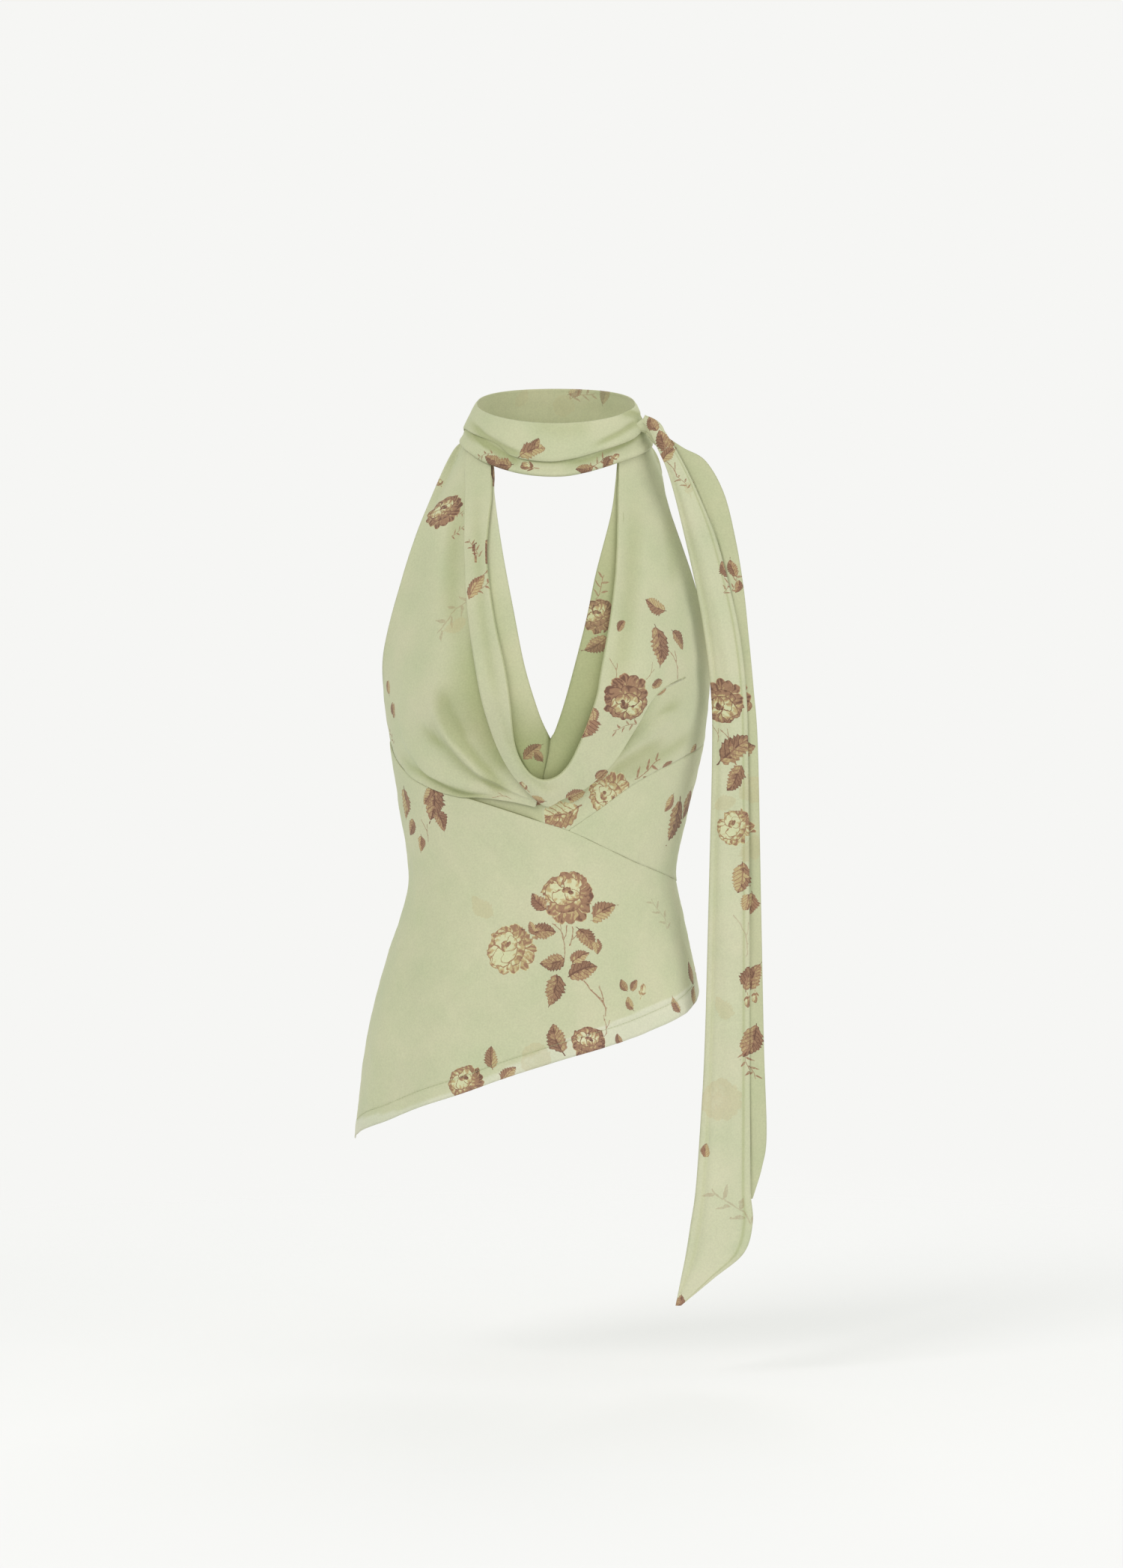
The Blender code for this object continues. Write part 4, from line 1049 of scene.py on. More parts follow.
def crepe_material(name, ground, strength):
    """Printed crepe with its ground colour and the strength that the print shows with."""
    found = bpy.data.materials.get(name)
    if found:
        return found
    material, tree, shader, place = new_material(name, CREPE_SURFACE)
    # The ground is made paler towards white where the vertex value is above 0, and darkened with
    # painted shade where it is below 0
    pale_and_shade = Sum(tree, add_node(tree, "ShaderNodeAttribute", attribute_name="Tint").outputs["Fac"])
    colour = pale_and_shade.most(0.0).mix(ground, tuple(c + (1 - c) * p for c, p in zip(ground, PALER)))
    colour = (pale_and_shade * -1.0).most(0.0).mix(colour, tuple(c * d for c, d in zip(ground, SHADED_GROUND)))
    inks = {"Dark ink": tuple(colours().dark_ink), "Brown ink": tuple(colours().brown_ink),
            "Tan ink": tuple(colours().tan_ink), "Cream ink": tuple(colours().cream_ink)}
    for layer, group, used in (("Stems", stem_group(), {"Ink": inks["Brown ink"]}),
                               ("Print", print_group(), inks)):
        marks = add_node(tree, "ShaderNodeUVMap", uv_map=layer)
        inputs = {"Ground": colour, "Map": marks.outputs["UV"], "Place": place,
                  "Strength": strength, **used}
        colour = add_node(tree, "ShaderNodeGroup", inputs, node_tree=group).outputs["Color"]
    grain = add_node(tree, "ShaderNodeGroup", {"Place": place}, node_tree=grain_group())
    shaded = add_node(tree, "ShaderNodeVectorMath", {0: colour, 1: grain.outputs["Shade"]},
                      operation="MULTIPLY")
    bump = add_node(tree, "ShaderNodeBump", {"Strength": GRAIN_BUMP, "Distance": sizes().crinkle,
                                             "Height": grain.outputs["Height"]})
    feed(tree, shader.inputs["Base Color"], shaded.outputs[0])
    feed(tree, shader.inputs["Normal"], bump.outputs["Normal"])
    return material


def grid_normals(points):
    """Unit normals of a grid, turned away from the body's upright middle line."""
    down, along = np.gradient(points, axis=0), np.gradient(points, axis=1)
    normals = np.cross(along, down)
    steps = np.linalg.norm(normals, axis=-1)
    normals /= np.maximum(steps[..., None], 1e-9)
    away = points - np.array([0, NECK_Y, 0])
    away[..., 2] = 0
    outward = (np.sum(normals * away, -1) * steps).sum()
    return (normals, False) if outward > 0 else (-normals, True)


def tangent_frame(normal, turn):
    """The motif's right and up at a point of the cloth, turned to the left by turn degrees."""
    up = np.array([0.0, 0.0, 1.0]) - normal * normal[2]
    up /= max(np.linalg.norm(up), 1e-9)
    right = np.cross(up, normal)
    angle = math.radians(turn)
    return (right * math.cos(angle) + up * math.sin(angle),
            up * math.cos(angle) - right * math.sin(angle))


def nearest_place(points, normals, px, py):
    """The grid point that shows at a place of the picture, or None if none lies near it."""
    x, y = picture_places(points)
    distance = np.hypot(x - px, y - py) + TURNED_AWAY * (normals[..., 1] > 0)
    close = distance < distance.min() + LEVEL_WITHIN
    if distance.min() > SEEN_WITHIN:
        return None
    depth = np.where(close, points[..., 1], np.inf)
    return np.unravel_index(np.argmin(depth), depth.shape)


def lay_motifs(points, normals, laid):
    """The print's map for each corner of each face: the motif's own square, and its place in it."""
    rows, lines = points.shape[:2]
    corners = np.full((rows - 1, lines - 1, 4, 2), 0.5)
    best = np.full((rows - 1, lines - 1), np.inf)

    def four(values):
        return np.stack([values[:-1, :-1], values[:-1, 1:], values[1:, 1:], values[1:, :-1]], -1)

    for kind, centre, normal, length, turn, tone in laid:
        right, up = tangent_frame(normal, turn)
        offset = (points - centre) / (length / 2)
        fx, fy = four(offset @ right), four(offset @ up)
        away = four(np.abs(offset @ normal) + 3 * (normals @ normal < 0.1)).max(-1)
        wide, tall = MOTIF_HALVES[kind]
        score = np.maximum(np.abs(fx).min(-1) / wide, np.abs(fy).min(-1) / tall)
        reach = np.maximum(np.abs(fx), np.abs(fy)).max(-1)
        take = (score < 1) & (reach < MOTIF_REACH) & (away < MOTIF_AWAY) & (score < best)
        best = np.where(take, score, best)
        square = np.stack([kind + 0.5 + MOTIF_SHARE * fx, tone + 0.5 + MOTIF_SHARE * fy], -1)
        corners = np.where(take[..., None, None], square, corners)
    return corners


def motif_spots(points, normals, motifs, hidden):
    """Where the motifs lie on a grid: those of the picture, then those of the hidden sides."""
    laid = []
    for kind, px, py, length, turn, tone in motifs:
        at = nearest_place(points, normals, px, py)
        if at is not None:
            laid.append((kind, points[at], normals[at], length, turn, tone))
    if hidden:
        laid += hidden_motifs(points, normals, [place for _, place, *_ in laid])
    return laid


def hidden_motifs(points, normals, taken):
    """Sprays laid by chance, evenly apart, where the picture doesn't show the cloth."""
    chance = np.random.default_rng(sizes().seed)
    flat, flat_normals = points.reshape(-1, 3), normals.reshape(-1, 3)
    order = chance.permutation(len(flat))
    centres, laid = list(taken), []
    for i in order[:SPRAY_TRIES]:
        if flat_normals[i, 1] < HIDDEN_FACING:
            continue
        if all(np.linalg.norm(flat[i] - centre) > SPRAY_SPACING for centre in centres):
            centres.append(flat[i])
            lean = chance.uniform(-SPRAY_LEAN, SPRAY_LEAN)
            right, up = tangent_frame(flat_normals[i], lean)
            for kind, dx, dz, length, turn, tone in SPRAY:
                spot = flat[i] + right * dx + up * dz
                j = int(np.argmin(np.linalg.norm(flat - spot, axis=1)))
                if np.linalg.norm(flat[j] - spot) < CLOTH_WITHIN:
                    laid.append((kind, flat[j], flat_normals[j], length, turn + lean, tone))
    return laid


def arc_lengths(points, axis):
    steps = np.linalg.norm(np.diff(points, axis=axis), axis=-1)
    total = np.cumsum(steps, axis=axis)
    return np.concatenate([np.zeros_like(np.take(total, [0], axis)), total], axis)


def cloth_mesh(name, grids, motifs, hidden, pale_and_shades=None):
    """One mesh of all the grids of points, in millimetres, joined where their edges meet. The
    values given with each grid make the cloth paler up to 1, and darken it with painted shade down
    to -1."""
    points, faces, marks, stems, weave = [], [], [], [], []
    start = 0
    for grid in grids:
        rows, lines = grid.shape[:2]
        normals, flip = grid_normals(grid)
        index = start + np.arange(rows * lines).reshape(rows, lines)
        quads = np.stack([index[:-1, :-1], index[:-1, 1:], index[1:, 1:], index[1:, :-1]], -1)
        laid = motif_spots(grid, normals, motifs, hidden)
        layers = [lay_motifs(grid, normals, [m for m in laid if (m[0] in (STEM, SHOOT)) == thin])
                  for thin in (False, True)]
        u, v = arc_lengths(grid, 1) * MM, arc_lengths(grid, 0) * MM
        if flip:
            quads, layers = quads[..., ::-1], [corners[..., ::-1, :] for corners in layers]
        points.append(grid.reshape(-1, 3))
        faces.append(quads.reshape(-1, 4))
        marks.append(layers[0].reshape(-1, 2))
        stems.append(layers[1].reshape(-1, 2))
        weave.append(np.stack([u, v], -1).reshape(-1, 2))
        start += rows * lines
    points, faces = np.concatenate(points), np.concatenate(faces)
    _, first, welded = np.unique(np.round(points, 2), axis=0, return_index=True,
                                 return_inverse=True)
    welded = welded.reshape(-1)
    mesh = bpy.data.meshes.new(name)
    mesh.from_pydata((points[first] * MM).tolist(), [], welded[faces].tolist())
    for label, values in (("Cloth", np.concatenate(weave)[faces]), ("Print", np.concatenate(marks)),
                          ("Stems", np.concatenate(stems))):
        layer = mesh.uv_layers.new(name=label)
        layer.uv.foreach_set("vector", values.astype(np.float32).ravel())
    if pale_and_shades:
        values = np.concatenate([np.broadcast_to(pale_and_shade, grid.shape[:2]).ravel()
                                 for pale_and_shade, grid in zip(pale_and_shades, grids)])
        layer = mesh.attributes.new("Tint", "FLOAT", "POINT")
        layer.data.foreach_set("value", np.clip(values[first], -1, 1).astype(np.float32))
    mesh.validate()
    mesh.shade_smooth()
    return mesh


def cloth_piece(name, grids, motifs, nodes, material, hidden=False, pale_and_shades=None):
    """A shell of crepe in place of the solids named."""
    mesh = cloth_mesh(name, grids, motifs, hidden, pale_and_shades)
    mesh.materials.append(material)
    mesh.materials.append(shaded_back_of_crepe())
    obj = put_in_scene(name, mesh)
    wall = obj.modifiers.new("Wall", "SOLIDIFY")
    wall.thickness = sizes().cloth
    wall.offset = -1
    wall.material_offset = 1
    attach(obj, "root")
    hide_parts(*nodes)
    return obj


def put_in_scene(name, data):
    obj = bpy.data.objects.new(name, data)
    bpy.context.scene.collection.objects.link(obj)
    return obj


def outer_crepe():
    return crepe_material("Printed crepe", tuple(colours().cloth), 1.0)


# The ground darkened: painted shade of the straps' turned faces
def shaded_facing_crepe():
    return crepe_material("Shaded turned crepe", tuple(colours().facing), 0.9)


# The ground darkened, a painted shade of the cloth's back, with its print faded
def shaded_back_of_crepe():
    return crepe_material("Shaded back of the crepe", tuple(colours().inside), 0.55)


def painted_furrow_shade(relief, most=FURROW_SHADE):
    """Painted shade: cloth that lies in a furrow is darkened, as shade would darken it."""
    return -most * np.clip(-relief / FURROW_DEPTH, 0, 1)


def fold_edge(t, line, height, wide, sharp):
    """A fold that rises sharply before a line and falls away softly past it."""
    distance = t - line
    return height * hump(distance / np.where(distance > 0, wide, sharp))


def closer_lines(count, *folds):
    """Even places across the cloth, with more of them on each side of a fold."""
    places = list(np.linspace(0, 1, count))
    for fold in folds:
        places += [fold + step for step in (-0.045, -0.03, -0.018, -0.008, 0, 0.008, 0.018, 0.03)]
    places = sorted(p for p in set(np.round(places, 4)) if 0 <= p <= 1)
    kept = [places[0]]
    for place in places[1:]:
        if place - kept[-1] > 0.006:
            kept.append(place)
    kept[-1] = 1.0
    return np.array(kept)


def left_front_grid():
    v = np.linspace(0, len(LEFT_FRONT) - 1, LEFT_FRONT_ROWS)
    t = closer_lines(LEFT_FRONT_LINES, LOW_FOLD, HIGH_FOLD)
    ex, ez, lx, lz, hx, hz, ix, iz, fold, lay = rows_between(LEFT_FRONT, v).T
    places = (0, LOW_FOLD, HIGH_FOLD, 1)
    x, z = across(places, (ex, lx, hx, ix), t), across(places, (ez, lz, hz, iz), t)
    z = np.maximum(z, seam_height(x, WAIST_Z) - SEAM_OVERLAP)
    low_fold = fold * fades(v, *LOW_FOLD_END)
    lift = lay[:, None] + fold_edge(t, LOW_FOLD, *LOW_FOLD_FORM) * low_fold[:, None]
    lift += fold_edge(t, HIGH_FOLD, *HIGH_FOLD_FORM) * fold[:, None]
    relief = crease_relief(x, z, LEFT_CREASES, chest_depth)
    lift += relief
    # Painted shade: darker in the furrows, just before each fold, beside the cowl and along the
    # waist seam
    pale_and_shade = painted_furrow_shade(relief)
    for line, height in ((LOW_FOLD, low_fold), (HIGH_FOLD, fold)):
        high = np.clip((height[:, None] - FOLD_SHADE_FROM) / 3, 0, 1)
        pale_and_shade -= FOLD_SHADE * hump((t - line + FOLD_SHADE_OFF) / FOLD_SHADE_WIDTH) * high
    begins, ends = BESIDE_COWL_ROWS
    beside_cowl = grows(v, *begins) * fades(v, *ends)
    pale_and_shade -= grows(t, *BESIDE_COWL_LINES) * beside_cowl[:, None]
    above = z - seam_height(x, WAIST_Z)
    waist_rows = grows(v, *WAIST_SHADE_ROWS)[:, None]
    pale_and_shade -= WAIST_SHADE * hump(above / WAIST_SHADE_HEIGHT) * waist_rows
    lift += rumple(x, z, sizes().rumple) * soft_step(v / 6)[:, None]
    lift -= ARMHOLE_DEPTH * hump(t * ARMHOLE_SPAN / SEAM_WIDTH) * soft_step(v / 2)[:, None]
    loose = soft_step((above + SEAM_OVERLAP) / WAIST_LOOSE_OVER)
    lift = lift * loose + SEAM_OVERLAP * (1 - loose)
    return chest_points(x, z, np.minimum(lift, LEFT_FRONT_MOST)), pale_and_shade


def rim_roll(share):
    """How far the cloth goes on and back past the rim, for each row's share of the roll."""
    turn = np.pi * share
    step = np.pi * RIM_RADIUS * np.maximum(share, RIM_LEAST) / ROLL_STEPS
    ahead, back, points = np.zeros_like(share), np.zeros_like(share), []
    for k in range(ROLL_STEPS):
        heading = turn * (k + 0.5) / ROLL_STEPS
        ahead, back = ahead + step * np.cos(heading), back + step * np.sin(heading)
        points.append((ahead, back))
    tuck = RIM_TUCK * np.maximum(share, RIM_LEAST) ** 3
    for k in (0.5, 1):
        points.append((ahead + k * tuck * np.cos(turn), back + k * tuck * np.sin(turn)))
    return points


def cowl_grids():
    """The cowl with its straps, and the right cup that hangs on below the cowl's fold."""
    top = len(COWL) - 1
    v = np.unique(np.concatenate([np.linspace(0, CUP_FROM, STRAP_ROWS),
                                  np.linspace(CUP_FROM, CUP_TO, CUP_ROWS),
                                  np.linspace(CUP_TO, top, RIGHT_STRAP_ROWS)]))
    ox, oz, rx, rz, low, crown, high = columns(COWL, v)
    t = np.concatenate([COWL_EDGE_LINES, np.linspace(COWL_EDGE_END, 1, COWL_LINES)])
    x, z = ox + (rx - ox) * t, oz + (rz - oz) * t
    lift = across((0, 0.5, 1), (low[:, 0], crown[:, 0], high[:, 0]), t)
    vv = v[:, None]
    faded = soft_step((vv - CUP_TO + 3) / 1.4) * fades(vv, CUP_TO + 3, 2)
    lift = low + (lift - low) * (1 - faded * (1 - soft_step(t / 0.45)))
    loose = soft_step(vv - 1) * soft_step(CUP_FROM + 0.3 - vv)
    lift = lift - loose * LOOSE_EDGE[0] * hump(t / LOOSE_EDGE[1])
    strap = soft_step((vv - CUP_TO) / 0.6) * soft_step(top - vv)
    lift = lift - strap * STRAP_EDGE[0] * hump(t / STRAP_EDGE[1])
    relief = crease_relief(x, z, COWL_CREASES + RIGHT_CREASES, chest_depth) * soft_step(vv / 2)
    lift = lift + relief
    uneven = rumple(x, z, COWL_RUMPLE * sizes().rumple)
    lift = lift + uneven * soft_step(vv / 2) * fades(vv, top, 2)
    points = chest_points(x, z, lift)
    width = np.hypot(rx - ox, rz - oz)
    ux, uz = ((rx - ox) / width)[:, 0], ((rz - oz) / width)[:, 0]
    rim = points[:, -1]
    rolled = [rim + np.stack([ux * ahead, back, uz * ahead], -1)
              for ahead, back in rim_roll(soft_step(high[:, 0] / RIM_FULL_LIFT))]
    cowl = np.concatenate([points] + [line[:, None] for line in rolled], axis=1)
    # Painted shade on the cloth that rolls over the rim and tucks back
    inside = np.full((len(v), len(rolled)), -RIM_SHADE)
    cup, cup_painted_shade = right_cup(v, cowl[:, 0], ox, oz, rx, rz, low)
    pale_and_shade = painted_furrow_shade(relief, COWL_FURROW_SHADE)
    return [cowl, cup], [np.hstack([pale_and_shade, inside]), cup_painted_shade]


def right_cup(v, edge, ox, oz, rx, rz, low):
    """From the seams up to the cowl's fold, under it and back to its edge."""
    here = (v >= CUP_FROM - 1e-9) & (v <= CUP_TO + 1e-9)
    v, edge = v[here], edge[here]
    ox, oz, rx, rz, low = (column[here] for column in (ox, oz, rx, rz, low))
    seam_x, back, under = columns(RIGHT_CUP, v - CUP_FROM)
    under = np.clip(under, 0, 1)
    seam_z = SEAM_LAP + np.where(seam_x > MIDRIFF_TIP, seam_height(seam_x, BUST_Z),
                                 seam_height(seam_x, WAIST_Z))
    width = np.hypot(rx - ox, rz - oz)
    tuck_x = ox + (rx - ox) / width * CUP_TUCK * under
    tuck_z = oz + (rz - oz) / width * CUP_TUCK * under
    s = np.linspace(0, 1, CUP_LINES)
    fall = soft_step(s)
    x = seam_x + (tuck_x - seam_x) * s
    z = seam_z + (tuck_z - seam_z) * s
    lift = -back * under * soft_step(s / 0.35) + (1 - under) * low * fall
    lift = lift - under * 0.8 * grows(s, 0.8, 0.2)
    relief = crease_relief(x, z, RIGHT_CREASES, chest_depth)
    # Painted shade in the furrows and up under the cowl's fold
    pale_and_shade = painted_furrow_shade(relief) - CUP_SHADE * under * grows(s, 0.40, 0.5)
    lift = lift + relief + rumple(x, z, COWL_RUMPLE * sizes().rumple)
    length = np.hypot(tuck_x - seam_x, tuck_z - seam_z)
    lift = lift - SEAM_DEPTH * hump(s * length / SEAM_WIDTH)
    cup = chest_points(x, z, lift)
    inner = cup[:, -1]
    share = under[:, 0][:, None]
    steps = [inner + (edge - inner) * k + share * np.array([0, sag, 0])
             for k, sag in CUP_CLOSING] + [edge]
    pale_and_shade = np.hstack([pale_and_shade, np.repeat(pale_and_shade[:, -1:], len(steps), axis=1)])
    pale_and_shade[:, -1] = 0
    return np.concatenate([cup] + [step[:, None] for step in steps], axis=1), pale_and_shade


def hidden_front_grid(first_column):
    """The right front's cloth that runs on to the left, behind the left front."""
    s = np.linspace(0, 1, UNDER_ROWS)[:, None]
    x = first_column[:, 0] - BEHIND_REACH * s
    share = (first_column[:, 2] - first_column[0, 2]) / (first_column[-1, 2] - first_column[0, 2])
    low = seam_height(x, WAIST_Z) + BEHIND_LOW
    high = first_column[-1, 2] + BEHIND_RISE * s
    z = low + (high - low) * share
    grid = chest_points(x, z, np.full(x.shape, -BEHIND_DEPTH))
    return grid + (first_column - grid[0]) * (1 - soft_step(s / 0.25))[..., None]


def facing_grid(table):
    v = np.linspace(0, len(table) - 1, FACING_ROWS)
    rx, rz, ex, ez, at_rim, at_edge = columns(table, v)
    t = np.linspace(0, 1, FACING_LINES)
    lift = at_rim + (at_edge - at_rim) * t
    lift = lift - FACING_EDGE[0] * hump((1 - t) / FACING_EDGE[1])
    return chest_points(rx + (ex - rx) * t, rz + (ez - rz) * t, lift)


def skirt_wave(turn, share):
    total = np.zeros(np.shape(turn))
    for centre, width, height in SKIRT_WAVES:
        total = total + height * hump((turn - centre) / width)
    return total * soft_step(share)


def round_grid(turns, top, bottom, rows, creases=(), waves=True, hem=True):
    """A panel round the body between two heights, with its seam turned in and its hem turned up."""
    turn = turns[:, None]
    high, low = top(turn), bottom(turn)
    share = np.linspace(0, 1, rows)[None, :]
    z = high + (low - high) * share
    if hem:
        fold = low + sizes().hem / MM
        above = high + (fold + HEM_TURN - high) * np.linspace(0, 1, rows)[None, :]
        turned = fold + HEM_TURN * np.array([[0.5, 0.0, -0.5, -1.0]])
        below = fold - HEM_TURN + (low - fold + HEM_TURN) * np.linspace(0.2, 1, 5)[None, :]
        z = np.hstack([above, turned, below])
        share = (high - z) / (high - low)
    out = skirt_wave(turn, share) if waves else np.zeros(z.shape)
    flat = ring_points(turn, z, 0.0)
    relief = crease_relief(flat[..., 0], z, creases, ring_depth) * (flat[..., 1] < 0)
    out = out + relief
    out = out + rumple(turn * MM_PER_DEGREE, z, sizes().rumple) * soft_step(share * 6)
    out = out - SEAM_DEPTH * hump((high - z) / SEAM_WIDTH)
    if hem:
        above = z - low - sizes().hem / MM
        out = out + HEM_STEP * soft_step(-above / HEM_TURN) - HEM_CREASE * hump(above / 1.5)
    sides = np.minimum(turn - turns[0], turns[-1] - turn) * MM_PER_DEGREE
    out = out - SIDE_SEAM_DEPTH * hump(sides / SIDE_SEAM_WIDTH)
    return ring_points(turn, z, out)


def hem_share(grid):
    """1 on the turned hem, where the cloth is double, and 0 above it."""
    turn = np.degrees(np.arctan2(grid[..., 0], -grid[..., 1]))
    low = HEM_Z(np.where(turn < -90, turn + 360, turn))
    return soft_step((low + sizes().hem / MM - grid[..., 2]) / HEM_TURN + 0.5)


def ring_depth(x, z):
    share = np.clip(np.abs(x) / half_width(x, z), 0, 0.999)
    return -FRONT_DEPTH(z) * np.sqrt(1 - share**2) - bust_form(x, z)


def ring_front(x, z):
    return neck_depth(x, z, -2.0)


def upper_wrap_grid():
    v = np.linspace(0, len(UPPER_WRAP) - 1, WRAP_ROWS)
    turn, low, out_top, out_low = columns(UPPER_WRAP, v)
    t = np.linspace(0, 1, UPPER_WRAP_LINES)
    high = rim_height(turn)
    out = out_top + (out_low - out_top) * np.sin(t * np.pi / 2)
    (top_deep, top_wide), (low_deep, low_wide) = UPPER_WRAP_EDGES
    out = out - top_deep * hump(t / top_wide) - low_deep * hump((1 - t) / low_wide)
    z = high + (low - high) * t
    x = neck_points(turn, z, out)[..., 0]
    relief = crease_relief(x, z, UPPER_WRAP_CREASES, ring_front)
    out = out + relief + UPPER_WRAP_RUMPLE * rumple(x, z, sizes().rumple)
    # with painted shade in its furrows
    return neck_points(turn, z, out), painted_furrow_shade(relief)


def lower_wrap_grid():
    v = np.linspace(0, len(LOWER_WRAP) - 1, WRAP_ROWS)
    turn, high, low, out_top, furrow, out_low = rows_between(LOWER_WRAP, v).T
    t = np.linspace(0, 1, LOWER_WRAP_LINES)
    out = across((0, 0.4, 0.55, 0.85, 1),
                 (out_top, furrow, furrow * 0.7, out_low, out_low - 0.8), t)
    turn, high, low = turn[:, None], high[:, None], low[:, None]
    out = out - LOWER_WRAP_EDGE[0] * hump((1 - t) / LOWER_WRAP_EDGE[1])
    z = high + (low - high) * t
    x = neck_points(turn, z, out)[..., 0]
    relief = crease_relief(x, z, LOWER_WRAP_CREASES, ring_front)
    out = np.maximum(out + relief + LOWER_WRAP_RUMPLE * rumple(x, z, sizes().rumple), 0.2)
    # Painted shade in its furrows and over its top, under the upper wrap
    pale_and_shade = painted_furrow_shade(relief) - LOWER_WRAP_SHADE * fades(t, 0.55, 0.3)
    return neck_points(turn, z, out), pale_and_shade


def nape_band_grid():
    turn = np.linspace(NAPE_BAND["from"], NAPE_BAND["to"], NAPE_ROWS)[:, None]
    high = rim_height(turn)
    behind = -np.cos(np.radians(turn))
    low = NAPE_BAND["side_bottom"] + (NAPE_BAND["back_bottom"] - NAPE_BAND["side_bottom"]) * behind
    t = np.linspace(0, 1, NAPE_LINES)
    out = NAPE_BAND["out"] + 0.5 * np.sin(t * 11 + 0.02 * turn) * np.sin(t * np.pi)
    deep, wide = NAPE_EDGE
    out = out - deep * hump(t / wide) - deep * hump((1 - t) / wide)
    fold_deep, fold_turn, fold_wide = NAPE_FOLD
    out = out - fold_deep * hump((turn - fold_turn) / fold_wide)
    return neck_points(turn, high + (low - high) * t, out)


def tail_grid(table, rows, lines, folds):
    v = np.linspace(0, len(table) - 1, rows)
    lx, lz, rx, rz, depth, crown = columns(table, v)
    t = closer_lines(lines, *folds)
    x, z = lx + (rx - lx) * t, lz + (rz - lz) * t
    y = depth - crown * np.sin(np.pi * t)
    hang = grows(v, 1, 5)[:, None] * soft_step((v[-1] - v) / 2)[:, None]
    for i, fold in enumerate(folds):
        y = y + hang * TAIL_FOLD[0] * hump((t - fold) / TAIL_FOLD[1]) * (-1) ** i
    wave = np.sin(t * TAIL_WAVE_LINES + z / TAIL_WAVE_LENGTH)
    y = y - hang * TAIL_WAVE * wave * np.sin(np.pi * t)
    y = y + rumple(x * 1.5, z, TAIL_RUMPLE * sizes().rumple) * hang
    return np.stack([x, y, z], -1)


def knot_grids():
    """The upper wrap's end, rolled over and drawn down behind the tail."""
    v = np.linspace(0, len(KNOT_ROLL) - 1, KNOT_ROWS)
    path = rows_between(KNOT_ROLL, v)
    middle, wide, thick = path[:, :3], path[:, 3:4], path[:, 4:5]
    way = np.gradient(middle, axis=0)
    way /= np.linalg.norm(way, axis=1, keepdims=True)
    out = KNOT_FRONT - way * (way @ KNOT_FRONT)[:, None]
    out /= np.linalg.norm(out, axis=1, keepdims=True)
    side = np.cross(way, out)
    turn = np.linspace(0, 2 * np.pi, KNOT_LINES)[None, :, None]
    furrow = 1
    for deep, times, shift, broad in KNOT_FURROWS:
        furrow = furrow - deep * hump(np.sin(turn * times + shift) / broad)
    furrow = 1 + (furrow - 1) * soft_step(np.minimum(v, v[-1] - v) / 0.6)[:, None, None]
    ring = (side * wide)[:, None] * np.cos(turn) + (out * thick)[:, None] * np.sin(turn)
    return [middle[:, None] + ring * furrow]


def stitch_tree():
    """Stitches along a line of points: named sizes in, one plain mesh out."""
    found = bpy.data.node_groups.get("Stitches along a line")
    if found:
        return found
    tree = bpy.data.node_groups.new("Stitches along a line", "GeometryNodeTree")
    tree.is_modifier = True
    for label, kind in (("Geometry", "Geometry"), ("Pitch", "Float"), ("Length", "Float"),
                        ("Radius", "Float"), ("Material", "Material")):
        tree.interface.new_socket(label, in_out="INPUT", socket_type="NodeSocket" + kind)
    tree.interface.new_socket("Geometry", in_out="OUTPUT", socket_type="NodeSocketGeometry")
    given = tree.nodes.new("NodeGroupInput").outputs
    curve = add_node(tree, "GeometryNodeMeshToCurve", {0: given["Geometry"]})
    spaced = add_node(tree, "GeometryNodeResampleCurve",
                      {"Curve": curve.outputs[0], "Length": given["Pitch"]}, mode="LENGTH")
    way = tree.nodes.new("GeometryNodeInputTangent")
    kept = tree.nodes.new("GeometryNodeCaptureAttribute")
    kept.capture_items.new("VECTOR", "Way")
    feed(tree, kept.inputs["Geometry"], spaced.outputs[0])
    feed(tree, kept.inputs["Way"], way.outputs[0])
    points = add_node(tree, "GeometryNodeCurveToPoints", {0: kept.outputs["Geometry"]},
                      mode="EVALUATED")
    stitch = add_node(tree, "GeometryNodeMeshCylinder",
                      {"Vertices": 6, "Depth": given["Length"], "Radius": given["Radius"]})
    turned = add_node(tree, "FunctionNodeAlignRotationToVector", {"Vector": kept.outputs["Way"]},
                      axis="Z")
    placed = add_node(tree, "GeometryNodeInstanceOnPoints",
                      {"Points": points.outputs[0], "Instance": stitch.outputs["Mesh"],
                       "Rotation": turned.outputs[0]})
    real = add_node(tree, "GeometryNodeRealizeInstances", {0: placed.outputs[0]})
    dressed = add_node(tree, "GeometryNodeSetMaterial",
                       {"Geometry": real.outputs[0], "Material": given["Material"]})
    feed(tree, tree.nodes.new("NodeGroupOutput").inputs[0], dressed.outputs[0])
    return tree


def socket_name(tree, label):
    for item in tree.interface.items_tree:
        if item.name == label and item.in_out == "INPUT":
            return item.identifier
    raise ValueError("no input named " + label)


def thread_material():
    found = bpy.data.materials.get("Sewing thread")
    if found:
        return found
    material, tree, shader, place = new_material("Sewing thread", THREAD_SURFACE)
    colour = tuple(colours().thread)
    darker = tuple(0.8 * c for c in colour)
    feed(tree, shader.inputs["Base Color"], noise(tree, place, 900.0).mix(darker, colour))
    return material


